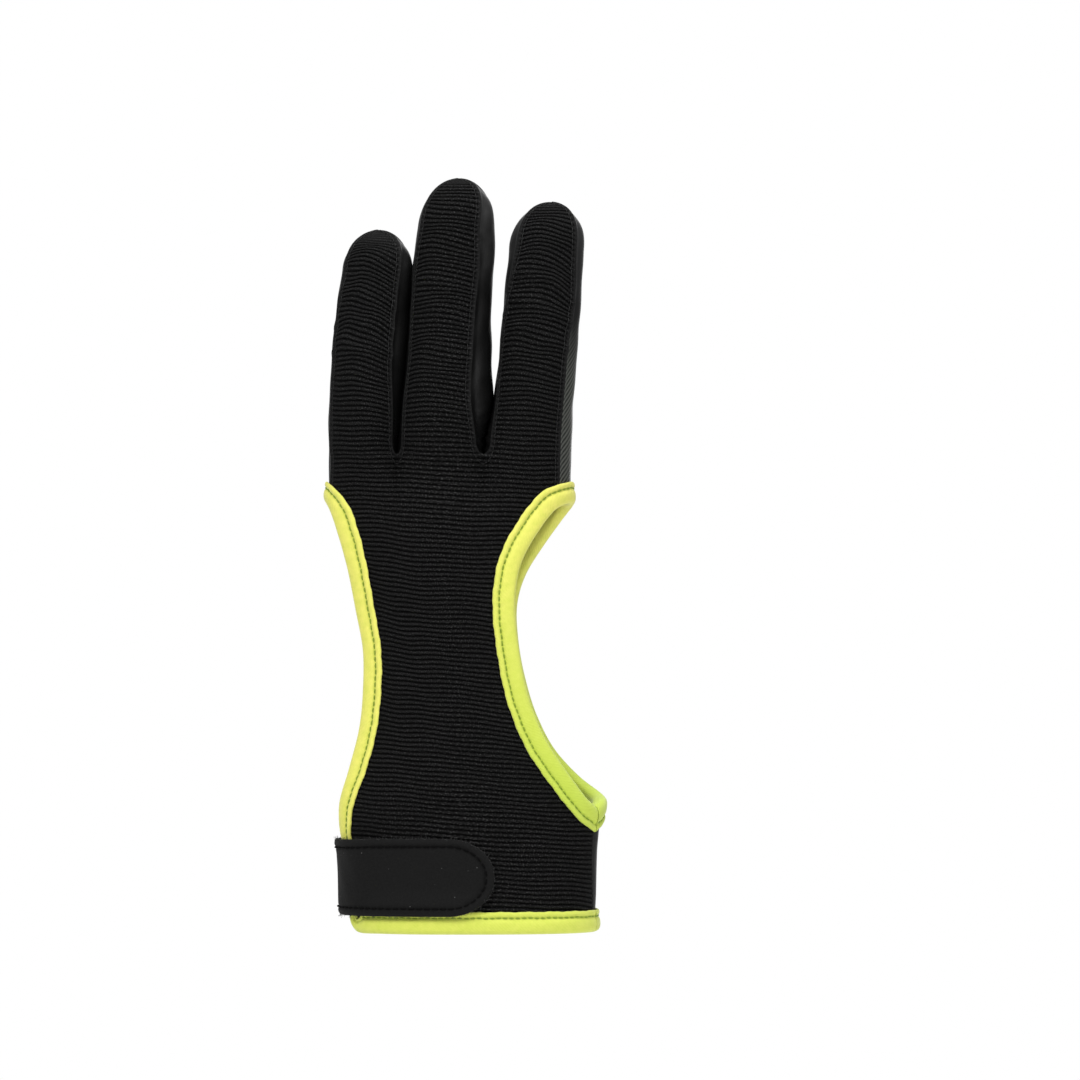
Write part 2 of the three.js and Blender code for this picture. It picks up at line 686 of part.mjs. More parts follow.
// Row of points across a finger's side wall, from the back's seam to the palm's. Outward is 1 for the
// thumb side and -1 for the little-finger side.
function sideRow(finger, outward, along) {
  const side = outward > 0 ? 'right' : 'left';
  const back = seamTurns(finger, along, true)[side];
  const palm = seamTurns(finger, along, false)[side] - (outward > 0 ? FULL_TURN : 0);
  const row = [];
  for (let column = 0; column <= WALL_COLUMNS; column += 1) {
    row.push(fingerPoint(finger, mix(back, palm, column / WALL_COLUMNS), along));
  }
  return row;
}

// Rows of a finger's side wall from its top, where it runs out to a point, down to the first share
function sideRows(finger, outward) {
  const shares = fingerShares(finger);
  const apex = fingerPoint(finger, outward > 0 ? 0 : Math.PI, 1);
  const rows = shares.slice(WEB_ROWS - 1, -1).reverse().map((along) => sideRow(finger, outward, along));
  return [Array(WALL_COLUMNS + 1).fill(apex), ...rows];
}

// Outer wall of the first or last finger, down to the top of the opening beside it
function outerWallPatch(finger, outward, clothEdge) {
  const patch = [];
  const rows = sideRows(finger, outward);
  for (const along of fingerShares(finger).slice(0, WEB_ROWS - 1).reverse()) {
    rows.push(sideRow(finger, outward, along));
  }
  const root = sideRow(finger, outward, 0);
  rows.push(root);
  const turns = root.map((point, column) => {
    const onBack = column < WALL_COLUMNS / 2;
    return unwrapped(turnAtWeb(point.x, onBack), outward > 0 ? 0 : Math.PI);
  });
  for (let row = 1; row <= SIDE_ROWS; row += 1) {
    rows.push(turns.map((turn) => {
      return handPoint(turn, mix(HAND_LENGTH, openingCorner(clothEdge, turn), row / SIDE_ROWS));
    }));
  }
  addGrid(patch, rows, outward > 0);
  return patch;
}

// Wall between two fingers: down one side, round the web and up the other
function webWallPatch(lower, upper) {
  const patch = [];
  const down = sideRows(lower, 1);
  const up = sideRows(upper, -1).reverse();
  const web = new THREE.Vector3(laneOf(lower).right, 0, HAND_LENGTH);
  const arm = (finger, outward, row) => {
    const along = row === 0 ? 0 : fingerShares(finger)[row - 1];
    const edge = sideRow(finger, outward, along);
    const top = sideRow(finger, outward, fingerShares(finger)[WEB_ROWS - 1]);
    const back = edge[0];
    const palm = edge[WALL_COLUMNS];
    const share = Math.sin((row * Math.PI) / (2 * WEB_ROWS));
    return top.map((point, column) => {
      if (column === 0) return back;
      if (column === WALL_COLUMNS) return palm;
      const deep = (point.y - top[0].y) / (top[WALL_COLUMNS].y - top[0].y);
      return new THREE.Vector3(mix(web.x, point.x, share), mix(back.y, palm.y, deep), back.z);
    });
  };
  const rows = [...down];
  for (let row = WEB_ROWS - 1; row >= 0; row -= 1) rows.push(arm(lower, 1, row));
  for (let row = 1; row < WEB_ROWS; row += 1) rows.push(arm(upper, -1, row));
  addGrid(patch, [...rows, ...up], true);
  return patch;
}

// Closed bodies

function trianglesOf(faces) {
  return faces.flatMap((face) => face.slice(2).map((corner, index) => [face[0], face[index + 1], corner]));
}

function boundaryOf(faces) {
  const edges = new Map();
  for (const face of faces) {
    face.forEach((corner, index) => {
      const next = face[(index + 1) % face.length];
      if (!edges.delete(`${next} ${corner}`)) edges.set(`${corner} ${next}`, [corner, next]);
    });
  }
  return [...edges.values()];
}

function geometryOf(points, triangles) {
  const geometry = new THREE.BufferGeometry();
  const places = points.flatMap((point) => [point.x, point.y, point.z]);
  geometry.setAttribute('position', new THREE.Float32BufferAttribute(places, 3));
  geometry.setIndex(triangles.flat());
  geometry.computeVertexNormals();
  return geometry;
}

// Body between an outer and an inner sheet that share their faces
function bodyBetween(outer, inner, faces) {
  const count = outer.length;
  const triangles = trianglesOf(faces);
  const body = [...triangles, ...triangles.map(([a, b, c]) => [a + count, c + count, b + count])];
  for (const [from, to] of boundaryOf(faces)) {
    body.push([to, from, from + count], [to, from + count, to + count]);
  }
  return geometryOf([...outer, ...inner], body);
}

// Cloth wall on a patch of the skin. Its edges stand half a seam gap back from the seam lines.
function clothWall(patch) {
  const used = [...new Set(patch.flat())];
  const local = new Map(used.map((corner, index) => [corner, index]));
  const normals = used.map((corner) => skinNormals[corner].clone().normalize());
  const pulls = used.map(() => []);
  for (const [from, to] of boundaryOf(patch)) {
    const along = skinPoints[to].clone().sub(skinPoints[from]).normalize();
    for (const corner of [from, to]) {
      const index = local.get(corner);
      pulls[index].push(normals[index].clone().cross(along).normalize());
    }
  }
  const outer = used.map((corner, index) => {
    const point = skinPoints[corner].clone();
    if (pulls[index].length < 2) return point;
    const [first, second] = pulls[index];
    const mitre = first.clone().add(second).divideScalar(Math.max(1 + first.dot(second), SHARPEST_MITRE));
    return point.addScaledVector(mitre, SEAM_GAP / 2);
  });
  const inner = outer.map((point, index) => point.clone().addScaledVector(normals[index], -CLOTH_WALL));
  return bodyBetween(outer, inner, patch.map((face) => face.map((corner) => local.get(corner))));
}

// Binding tape

// Section of the folded tape: across is measured from the fold over the cloth, off outwards from the skin
const TAPE_SECTION = [
  { across: TAPE_WIDTH, off: TAPE_EASE },
  { across: TAPE_WIDTH, off: TAPE_EASE + TAPE_WALL },
  { across: TAPE_WIDTH / 2, off: TAPE_EASE + TAPE_WALL },
  { across: TAPE_WALL, off: TAPE_EASE + TAPE_WALL },
  { across: 0, off: 0 },
  { across: 0, off: -CLOTH_WALL },
  { across: TAPE_WALL, off: -CLOTH_WALL - TAPE_INNER_EASE - TAPE_WALL },
  { across: TAPE_WIDTH / 2, off: -CLOTH_WALL - TAPE_INNER_EASE - TAPE_WALL },
  { across: TAPE_WIDTH, off: -CLOTH_WALL - TAPE_INNER_EASE - TAPE_WALL },
  { across: TAPE_WIDTH, off: -CLOTH_WALL - TAPE_INNER_EASE },
  { across: TAPE_WIDTH / 2, off: -CLOTH_WALL - TAPE_INNER_EASE },
  { across: TAPE_WALL, off: -CLOTH_WALL - TAPE_INNER_EASE },
  { across: TAPE_WALL, off: TAPE_EASE },
  { across: TAPE_WIDTH / 2, off: TAPE_EASE },
];

// Closed body through rings of points, with both ends capped. Side is the cloth side of the tape's edge.
function bodyThrough(rings, section, side) {
  const size = section.length;
  const triangles = [];
  for (let ring = 1; ring < rings.length; ring += 1) {
    for (let place = 0; place < size; place += 1) {
      const here = (ring - 1) * size + place;
      const next = (ring - 1) * size + ((place + 1) % size);
      triangles.push([here, next, next + size], [here, next + size, here + size]);
    }
  }
  const outline = section.map((point) => new THREE.Vector2(point.across, point.off));
  const last = (rings.length - 1) * size;
  for (const cap of THREE.ShapeUtils.triangulateShape(outline, [])) {
    triangles.push([...cap].reverse(), cap.map((corner) => corner + last));
  }
  return geometryOf(rings.flat(), side > 0 ? triangles : triangles.map((corners) => corners.reverse()));
}

// Folded tape along an edge. Limit gives how far it may reach over the cloth at a station.
function tapeAlong(stations, clothSide, limit, seamEnds) {
  const frames = framesAlong(stations, clothSide);
  const rings = frames.map((frame, index) => {
    const station = stations[index];
    const reach = Math.min(TAPE_WIDTH, limit(station));
    const fromEnd = Math.min(index, frames.length - 1 - index);
    const seamPull = seamEnds ? Math.max(1 - fromEnd / SEAM_PULL_STEPS, 0) : 0;
    const lower = station.height - TAPE_WIDTH;
    const shift = station.turn - unwrapped(seamTurn(station.height), station.turn);
    const down = handPoint(seamTurn(lower) + shift, lower).sub(frame.point).normalize();
    const over = frame.over.clone().lerp(down, seamPull).normalize();
    over.multiplyScalar(mix(1, TAPE_SEAM_RUN, seamPull));
    return TAPE_SECTION.map((place) => {
      const outer = (place.across - TAPE_WALL) / (TAPE_WIDTH - TAPE_WALL);
      const across = place.across > TAPE_WALL ? mix(TAPE_WALL, reach, outer) : place.across;
      const base = frame.point.clone().addScaledVector(over, across);
      const turn = turnOfPoint(base);
      return handPoint(turn, base.z).addScaledVector(handNormal(turn, base.z), place.off);
    });
  });
  return bodyThrough(rings, TAPE_SECTION, clothSide);
}

const TAPE_END_TURN = (TAPE_END_GAPS * SEAM_GAP) / 2 / SKIN_ARM;

function thumbTape() {
  const stations = THUMB_STATIONS.map((station) => ({ ...station }));
  stations[0].turn += TAPE_END_TURN;
  stations[stations.length - 1].turn -= TAPE_END_TURN;
  return tapeAlong(stations, THUMB_CLOTH_SIDE, () => TAPE_WIDTH, true);
}

// Rounded hem corner from the hem up to the side edge; mirrored it is the palm's
function hemCorner(edgeTurn) {
  const knots = [];
  for (let step = 0; step <= CORNER_STEPS; step += 1) {
    const angle = (step * Math.PI) / (2 * CORNER_STEPS);
    const inwards = HEM_CORNER_RADIUS * (1 - Math.sin(angle));
    knots.push({ turn: edgeTurn - inwards / SKIN_ARM, height: HEM_CORNER_RADIUS * (1 - Math.cos(angle)) });
  }
  return knots;
}

function sideAndHemTape() {
  const side = knotsOf(SIDE_EDGE);
  const mirrored = (knots) => knots.map((knot) => ({ ...knot, turn: FULL_TURN - knot.turn })).reverse();
  const corner = hemCorner(side[0].turn);
  const seam = seamTurn(0);
  const backHem = [];
  const palmHem = [];
  for (let step = 0; step < HEM_STEPS; step += 1) {
    const share = step / HEM_STEPS;
    backHem.push({ turn: mix(seam + TAPE_END_TURN, corner[0].turn, share), height: 0 });
    const palmEnd = seam - TAPE_END_TURN + FULL_TURN;
    palmHem.push({ turn: mix(palmEnd, FULL_TURN - corner[0].turn, share), height: 0 });
  }
  const knots = [...backHem, ...corner, ...side, ...mirrored(corner), ...palmHem.reverse()];
  const stations = stationsAlong(knots, SIDE_TAPE_STEPS);
  const limit = (station) => {
    const fromSide = Math.abs(Math.PI - station.turn) - (Math.PI - corner[0].turn);
    const clear = Math.max(fromSide * SKIN_ARM, station.height - HEM_CORNER_RADIUS, 0);
    return HEM_CORNER_REACH * (HEM_CORNER_RADIUS + clear);
  };
  return tapeAlong(stations, SIDE_CLOTH_SIDE, limit, false);
}

// Strap

function strapWall() {
  const middle = STRAP_FOOT + STRAP_HEIGHT / 2;
  const sampled = [];
  let length = 0;
  for (let turn = STRAP_TIP_TURN; turn <= STRAP_SEWN_TURN; turn += 1) {
    const point = handPoint(turn * DEGREE, middle);
    if (sampled.length) length += point.distanceTo(sampled[sampled.length - 1].point);
    sampled.push({ turn: turn * DEGREE, point, length });
  }
  const turnAtLength = (wanted) => {
    const next = Math.max(sampled.findIndex((sample) => sample.length >= wanted), 1);
    const [from, to] = [sampled[next - 1], sampled[next]];
    return mix(from.turn, to.turn, Math.min((wanted - from.length) / (to.length - from.length), 1));
  };
  const lengths = [];
  for (let step = 0; step <= STRAP_TIP_STEPS; step += 1) {
    const angle = mix(STRAP_TIP_START, 90, step / STRAP_TIP_STEPS) * DEGREE;
    lengths.push({ from: STRAP_TIP_LENGTH * (1 - Math.cos(angle)), open: Math.sin(angle) });
  }
  for (let step = 1; step <= STRAP_STEPS; step += 1) {
    lengths.push({ from: mix(STRAP_TIP_LENGTH, length, step / STRAP_STEPS), open: 1 });
  }
  const overTape = TAPE_EASE + TAPE_WALL + STRAP_CLEARANCE;
  const outer = [];
  const inner = [];
  for (const { from, open } of lengths) {
    const turn = turnAtLength(from);
    for (const share of STRAP_SHARES) {
      const height = middle + (share - 0.5) * STRAP_HEIGHT * open;
      const edge = Math.abs(Math.PI - SIDE_STATIONS[0].turn) + TAPE_WIDTH / SKIN_ARM;
      const pastTape = (Math.abs(Math.PI - turn) - edge) * SKIN_ARM;
      const bySide = 1 - smoothStep(STRAP_CLEARANCE, STRAP_SLOPE, pastTape);
      const byHem = 1 - smoothStep(TAPE_WIDTH + STRAP_CLEARANCE, TAPE_WIDTH + STRAP_SLOPE, height);
      const lift = mix(STRAP_CLEARANCE, overTape, Math.max(bySide, byHem));
      const out = handNormal(turn, height);
      inner.push(handPoint(turn, height).addScaledVector(out, lift));
      outer.push(handPoint(turn, height).addScaledVector(out, lift + STRAP_WALL));
    }
  }
  const faces = [];
  const width = STRAP_SHARES.length;
  for (let row = 1; row < lengths.length; row += 1) {
    for (let column = 1; column < width; column += 1) {
      const at = row * width + column;
      faces.push([at - width - 1, at - width, at, at - 1]);
    }
  }
  return bodyBetween(outer, inner, faces);
}

// The glove

const [RING, MIDDLE, INDEX] = FINGERS;
const PATCHES = {
  back_panel: panelPatch(true),
  palm_panel: panelPatch(false),
  ring_outer_wall: outerWallPatch(RING, -1, SIDE_CLOTH),
  ring_middle_wall: webWallPatch(RING, MIDDLE),
  middle_index_wall: webWallPatch(MIDDLE, INDEX),
  index_outer_wall: outerWallPatch(INDEX, 1, THUMB_CLOTH),
};

const ribbedCloth = new THREE.MeshStandardMaterial({ color: 0x1b1b1b, roughness: 0.85, metalness: 0 });
const palmLeather = new THREE.MeshStandardMaterial({ color: 0x161616, roughness: 0.6, metalness: 0 });
const wallLeather = new THREE.MeshStandardMaterial({ color: 0x212121, roughness: 0.5, metalness: 0 });
const brightTape = new THREE.MeshStandardMaterial({ color: 0xe0ea5c, roughness: 0.7, metalness: 0 });
const brushedStrap = new THREE.MeshStandardMaterial({ color: 0x1e1e1e, roughness: 0.95, metalness: 0 });

const glove = new THREE.Group();

function addPiece(name, geometry, material) {
  const piece = new THREE.Mesh(geometry, material);
  piece.name = name;
  glove.add(piece);
}

addPiece('back_panel', clothWall(PATCHES.back_panel), ribbedCloth);
addPiece('palm_panel', clothWall(PATCHES.palm_panel), palmLeather);
for (const name of ['ring_outer_wall', 'ring_middle_wall', 'middle_index_wall', 'index_outer_wall']) {
  addPiece(name, clothWall(PATCHES[name]), wallLeather);
}
addPiece('thumb_binding', thumbTape(), brightTape);
addPiece('side_and_hem_binding', sideAndHemTape(), brightTape);
addPiece('wrist_strap', strapWall(), brushedStrap);

export default glove;
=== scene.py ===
import math

import bmesh
import bpy
import mathutils
import numpy as np
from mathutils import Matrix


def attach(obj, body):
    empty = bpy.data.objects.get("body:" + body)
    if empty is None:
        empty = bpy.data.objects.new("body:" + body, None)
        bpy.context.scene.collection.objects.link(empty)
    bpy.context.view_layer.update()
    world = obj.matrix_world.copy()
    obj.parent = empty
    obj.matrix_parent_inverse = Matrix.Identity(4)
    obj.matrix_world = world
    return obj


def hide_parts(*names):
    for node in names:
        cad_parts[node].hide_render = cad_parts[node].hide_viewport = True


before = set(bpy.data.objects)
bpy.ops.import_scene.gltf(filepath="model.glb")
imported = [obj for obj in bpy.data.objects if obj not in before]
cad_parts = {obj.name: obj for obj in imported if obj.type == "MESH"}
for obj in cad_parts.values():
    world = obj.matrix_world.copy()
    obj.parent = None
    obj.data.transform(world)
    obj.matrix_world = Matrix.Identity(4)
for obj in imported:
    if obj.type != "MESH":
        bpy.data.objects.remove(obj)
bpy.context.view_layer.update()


# Back panel
# The back of the hand and of three fingers, cut in one piece from black ribbed elastic and sewn to the
# walls and the palm in narrow raised seams. Stretched over the hand, its ribs fall a little towards the thumb
# and arch over each finger.

def table(names, *rows):
    """Rows of numbers under named columns."""
    return {name: np.array(column) for name, column in zip(names.split(), zip(*rows))}


# Millimetres: the worn glove's skin, which every piece lies on
HAND_LENGTH, HAND_WIDTH, WRIST_DEPTH = 132.0, 67.2, 41.0
FINGER_DEPTH, FINGER_BEND, WEB_RISE = 21.0, 5.0, 4.2
CLOTH_WALL, CLOTH_EDGE, EDGE_PULL, HEM_CORNER_RADIUS = 1.2, 1.6, 0.01, 4.2
HAND_POWER, FINGER_POWER, BACK_CREST, KNUCKLE_START, WEB_REACH, TIP_START, TIP_TURN = (
    2.4, 2.2, 0.45, 0.8, 0.9, 0.825, 87)
SKIN_ARM, FULL_TURN = WRIST_DEPTH / 2, 2 * np.pi

# Hand sections: up is a share of the hand's length, left and right of its width, deep of the wrist's depth
HAND = table(
    "up left right deep",
    (0.0, -0.501, 0.501, 1.0), (0.034, -0.509, 0.503, 1.0), (0.165, -0.517, 0.512, 0.98),
    (0.225, -0.544, 0.524, 0.96), (0.276, -0.557, 0.531, 0.94), (0.339, -0.536, 0.517, 0.9),
    (0.423, -0.501, 0.474, 0.86), (0.507, -0.485, 0.433, 0.82), (0.592, -0.485, 0.4, 0.79),
    (0.676, -0.512, 0.384, 0.76), (0.76, -0.548, 0.383, 0.72), (0.844, -0.588, 0.391, 0.68),
    (0.907, -0.596, 0.4, 0.65), (1.0, -0.596, 0.404, 0.63))

# Finger sections: shares of the finger's length, of its width at the web and of its depth, with the seams
# of the back as shares of the way from the highest line to the side
FINGER_COLUMNS = "up left right crest back_left back_right deep"
RING = dict(start=0, end=0.281, length=62.4, lean=0.062, rows=table(
    FINGER_COLUMNS,
    (0.07, -0.53, 0.463, 0.46, 0.9, 0.88, 1.0), (0.25, -0.551, 0.463, 0.45, 0.9, 0.82, 0.97),
    (0.47, -0.553, 0.469, 0.45, 0.9, 0.74, 0.94), (0.69, -0.525, 0.497, 0.45, 0.9, 0.725, 0.86),
    (0.825, -0.478, 0.522, 0.45, 0.9, 0.72, 0.8)))
MIDDLE = dict(start=0.281, end=0.64, length=76.8, lean=0.056, rows=table(
    FINGER_COLUMNS,
    (0.058, -0.487, 0.48, 0.47, 0.9, 0.8, 1.0), (0.2, -0.472, 0.533, 0.43, 0.92, 0.61, 0.98),
    (0.38, -0.447, 0.513, 0.4, 0.92, 0.62, 0.95), (0.56, -0.445, 0.48, 0.41, 0.92, 0.67, 0.9),
    (0.7, -0.436, 0.49, 0.43, 0.92, 0.67, 0.87), (0.825, -0.407, 0.472, 0.45, 0.9, 0.64, 0.82)))
INDEX = dict(start=0.64, end=1, length=70.2, lean=0.085, rows=table(
    FINGER_COLUMNS,
    (0.063, -0.496, 0.49, 0.5, 0.84, 0.72, 1.0), (0.22, -0.439, 0.475, 0.47, 0.92, 0.735, 0.98),
    (0.42, -0.425, 0.471, 0.45, 0.93, 0.745, 0.94), (0.62, -0.423, 0.462, 0.46, 0.89, 0.81, 0.88),
    (0.825, -0.415, 0.447, 0.5, 0.77, 0.76, 0.81)))
FINGERS = (INDEX, MIDDLE, RING)

# The edges of the two openings, as turns round the hand in degrees and shares of the hand's length. The edge on
# the little-finger side is the same on the back and on the palm
THUMB_EDGE = table(
    "turn up",
    (21, 0.266), (29.5, 0.282), (39, 0.318), (46.5, 0.36), (52, 0.402), (55.5, 0.444), (58.5, 0.507),
    (59.5, 0.592), (59.3, 0.676), (57.5, 0.73), (54, 0.775), (48, 0.815), (42, 0.844), (36, 0.868),
    (28, 0.888), (14, 0.898), (-2, 0.895), (-16, 0.88), (-31, 0.847), (-45, 0.802), (-57, 0.75),
    (-64, 0.69), (-66, 0.613), (-65, 0.528), (-61, 0.444), (-52, 0.37), (-36, 0.318), (-16, 0.292),
    (4, 0.279), (21, 0.266))
SIDE_BACK = ((164, 0.1), (169, 0.15), (172, 0.19), (169.5, 0.225), (165, 0.26), (160.5, 0.3), (156.5, 0.35),
             (154, 0.423), (152.5, 0.55), (153.5, 0.676), (153.5, 0.77), (154.5, 0.825), (159, 0.862), (168, 0.889))
SIDE_EDGE = table("turn up", *SIDE_BACK, (180, 0.899), *((360 - turn, up) for turn, up in SIDE_BACK[::-1]))
SEAM_TURN_TOP, SEAM_TURN_HEM = 21, 13.5


def mix(start, end, share):
    return start + (end - start) * share


def smooth_step(start, end, value):
    share = np.clip((value - start) / (end - start), 0, 1)
    return share * share * (3 - 2 * share)


def signed_power(value, power):
    return np.sign(value) * np.abs(value) ** power


def unit(vectors):
    return vectors / np.maximum(np.linalg.norm(vectors, axis=-1, keepdims=True), 1e-9)


def reading(rows, name, up):
    """Reads one column of a table smoothly between its rows."""
    x, y = rows["up"], rows[name]
    up = np.clip(up, x[0], x[-1])
    row = np.clip(np.searchsorted(x, up, side="right") - 1, 0, len(x) - 2)
    ends = np.clip(np.arange(len(x)) - 1, 0, None), np.clip(np.arange(len(x)) + 1, None, len(x) - 1)
    slope = (y[ends[1]] - y[ends[0]]) / (x[ends[1]] - x[ends[0]])
    span = x[row + 1] - x[row]
    t = (up - x[row]) / span
    return (y[row] * (1 + 2 * t) * (1 - t) ** 2 + y[row + 1] * t * t * (3 - 2 * t)
            + slope[row] * span * t * (1 - t) ** 2 + slope[row + 1] * span * t * t * (t - 1))


WEB_LEFT, WEB_RIGHT = (reading(HAND, side, 1.0) * HAND_WIDTH for side in ("left", "right"))


def lane_of(finger):
    return mix(WEB_LEFT, WEB_RIGHT, finger["start"]), mix(WEB_LEFT, WEB_RIGHT, finger["end"])


def root_section(finger, on_back):
    """A finger's section where it grows out of the hand."""
    left, right = lane_of(finger)
    middle, half = (left + right) / 2, (right - left) / 2
    rows = finger["rows"]
    seams = [np.where(on_back, rows[a][0], rows[b][0])
             for a, b in (("back_left", "back_right"), ("back_right", "back_left"))]
    at_left, at_right = finger["start"] == 0, finger["end"] == 1
    return dict(
        left=middle - half / (1 if at_left else WEB_REACH), right=middle + half / (1 if at_right else WEB_REACH),
        crest=middle, seam_left=seams[0] if at_left else WEB_REACH, seam_right=seams[1] if at_right else WEB_REACH,
        half=FINGER_DEPTH / 2)


def finger_section(finger, along, on_back, in_web=True):
    """A finger's section at a share of its length, which closes round its tip."""
    left_lane, right_lane = lane_of(finger)
    rows, width = finger["rows"], right_lane - left_lane
    tip = np.clip((np.asarray(along, float) - TIP_START) / (1 - TIP_START), 0, 1)
    angle = np.radians(tip * TIP_TURN)
    up = np.where(tip > 0, mix(TIP_START, 1, np.sin(angle) / math.sin(math.radians(TIP_TURN))), along)
    at = np.minimum(up, TIP_START)
    axis = (left_lane + right_lane) / 2 + finger["lean"] * finger["length"] * up
    left_edge, right_edge = (axis + reading(rows, side, at) * width for side in ("left", "right"))
    centre, close, seam_close = (left_edge + right_edge) / 2, np.cos(angle), tip ** 1.5
    left, right = mix(centre, left_edge, close), mix(centre, right_edge, close)
    crest = mix(reading(rows, "crest", at), 0.5, tip)
    one, other = reading(rows, "back_left", at), reading(rows, "back_right", at)
    section = dict(
        left=left, right=right, crest=mix(left, right, np.where(on_back, crest, 1 - crest)),
        seam_left=mix(np.where(on_back, one, other), 1, seam_close),
        seam_right=mix(np.where(on_back, other, one), 1, seam_close),
        half=reading(rows, "deep", at) * FINGER_DEPTH * np.cos(tip * np.pi / 2) ** 0.85 / 2)
    if in_web:
        rise = np.clip(finger["length"] * up / WEB_RISE, 0, 1)
        root, share = root_section(finger, on_back), np.sqrt(1 - (1 - rise) ** 2)
        top = finger_section(finger, WEB_RISE / finger["length"], on_back, in_web=False)
        for key in root:
            section[key] = np.where(rise < 1, mix(root[key], top[key], share), section[key])
    section["middle"] = FINGER_BEND * up * up
    section["height"] = HAND_LENGTH + finger["length"] * up
    return section


def turn_of_reach(reach, power, on_back):
    across = signed_power(reach, power / 2)
    deep = np.sqrt(np.maximum(1 - across * across, 0))
    return np.arctan2(np.where(on_back, deep, -deep), across)


def finger_point(finger, turn, along):
    section = finger_section(finger, along, np.sin(turn) >= 0)
    across, deep = (signed_power(f(turn), 2 / FINGER_POWER) for f in (np.cos, np.sin))
    crest = section["crest"]
    x = crest + across * np.where(across > 0, section["right"] - crest, crest - section["left"])
    y = section["middle"] - section["half"] * deep
    return np.stack(np.broadcast_arrays(x, y, section["height"]), axis=-1)


def root_depth(x, on_back):
    """Depth of the three finger roots at a place across the webs."""
    deep = np.zeros(np.shape(x))
    for finger in FINGERS:
        root = root_section(finger, on_back)
        reach = (x - root["crest"]) / np.where(x > root["crest"], root["right"] - root["crest"],
                                               root["crest"] - root["left"])
        here = root["half"] * np.maximum(1 - np.abs(reach) ** FINGER_POWER, 0) ** (1 / FINGER_POWER)
        deep = np.where(x <= lane_of(finger)[1] + 1e-9, here, deep)
        if finger is INDEX:
            deep = here
    return deep


def hand_point(turn, height):
    turn, height = np.broadcast_arrays(np.asarray(turn, float), np.asarray(height, float))
    up, on_back = height / HAND_LENGTH, np.sin(turn) >= 0
    share = np.where(on_back, BACK_CREST, 1 - BACK_CREST)
    across = signed_power(np.cos(turn), 2 / HAND_POWER)

    def place(left, right):
        crest = mix(left, right, share)
        return crest + across * np.where(across > 0, right - crest, crest - left)

    x = place(reading(HAND, "left", up) * HAND_WIDTH, reading(HAND, "right", up) * HAND_WIDTH)
    free = reading(HAND, "deep", up) * SKIN_ARM * np.abs(np.sin(turn)) ** (2 / HAND_POWER)
    depth = mix(free, root_depth(place(WEB_LEFT, WEB_RIGHT), on_back), smooth_step(KNUCKLE_START, 1, up) ** 2.2)
    return np.stack([x, np.where(on_back, -depth, depth), height], axis=-1)


def hand_normal(turn, height):
    step = math.radians(0.5)
    across = hand_point(turn + step, height) - hand_point(turn - step, height)
    rising = hand_point(turn, height + 0.25) - hand_point(turn, height - 0.25)
    return unit(np.cross(rising, across))


def turn_of_point(point):
    """Turn round the hand of points on its skin or close to it."""
    x, y, up = point[..., 0], point[..., 1], point[..., 2] / HAND_LENGTH
    left, right = reading(HAND, "left", up) * HAND_WIDTH, reading(HAND, "right", up) * HAND_WIDTH
    crest = mix(left, right, np.where(y < 0, BACK_CREST, 1 - BACK_CREST))
    across = signed_power((x - crest) / np.where(x > crest, right - crest, crest - left), HAND_POWER / 2)
    deep = signed_power(-y / (reading(HAND, "deep", up) * SKIN_ARM), HAND_POWER / 2)
    return np.arctan2(deep, across)


def turn_at_web(x, on_back):
    crest = mix(WEB_LEFT, WEB_RIGHT, BACK_CREST if on_back else 1 - BACK_CREST)
    reach = (x - crest) / np.where(x > crest, WEB_RIGHT - crest, crest - WEB_LEFT)
    return turn_of_reach(reach, HAND_POWER, on_back)


def unwrapped(turn, near):
    return turn + np.round((near - turn) / FULL_TURN) * FULL_TURN


def smooth_line(turns, heights, spacing):
    """Evenly spaced stations on a smooth line through knots on the skin."""
    knots = np.stack([np.asarray(turns) * SKIN_ARM, heights], axis=1)
    knots = np.vstack([2 * knots[0] - knots[1], knots, 2 * knots[-1] - knots[-2]])
    pieces, share = [], np.linspace(0, 1, 40, endpoint=False)[:, None]
    for a, b, c, d in zip(knots, knots[1:], knots[2:], knots[3:]):
        before, here, after = (max(np.linalg.norm(q - p), 1e-4) ** 0.5 for p, q in ((a, b), (b, c), (c, d)))
        leave = ((b - a) / before - (c - a) / (before + here) + (c - b) / here) * here
        arrive = ((c - b) / here - (d - b) / (here + after) + (d - c) / after) * here
        pieces.append(b + leave * share + (3 * (c - b) - 2 * leave - arrive) * share ** 2
                      + (2 * (b - c) + leave + arrive) * share ** 3)
    flat = np.vstack(pieces + [knots[-2:-1]])
    turn, height = flat[:, 0] / SKIN_ARM, flat[:, 1]
    steps = np.linalg.norm(np.diff(hand_point(turn, height), axis=0), axis=1)
    length = np.concatenate([[0], np.cumsum(steps)])
    even = np.linspace(0, length[-1], max(int(round(length[-1] / spacing)), 1) + 1)
    return np.interp(even, length, turn), np.interp(even, length, height)


def edge_frames(turn, height, side):
    """Points of an edge on the skin, and the directions along it and over the cloth."""
    points = hand_point(turn, height)
    along = unit(np.concatenate([points[1:2] - points[:1], points[2:] - points[:-2], points[-1:] - points[-2:-1]]))
    return points, along, unit(np.cross(hand_normal(turn, height), along) * side)


def moved_edge(turn, height, side, distance):
    points, _, over = edge_frames(turn, height, side)
    moved = points + over * distance
    return unwrapped(turn_of_point(moved), turn), moved[:, 2]


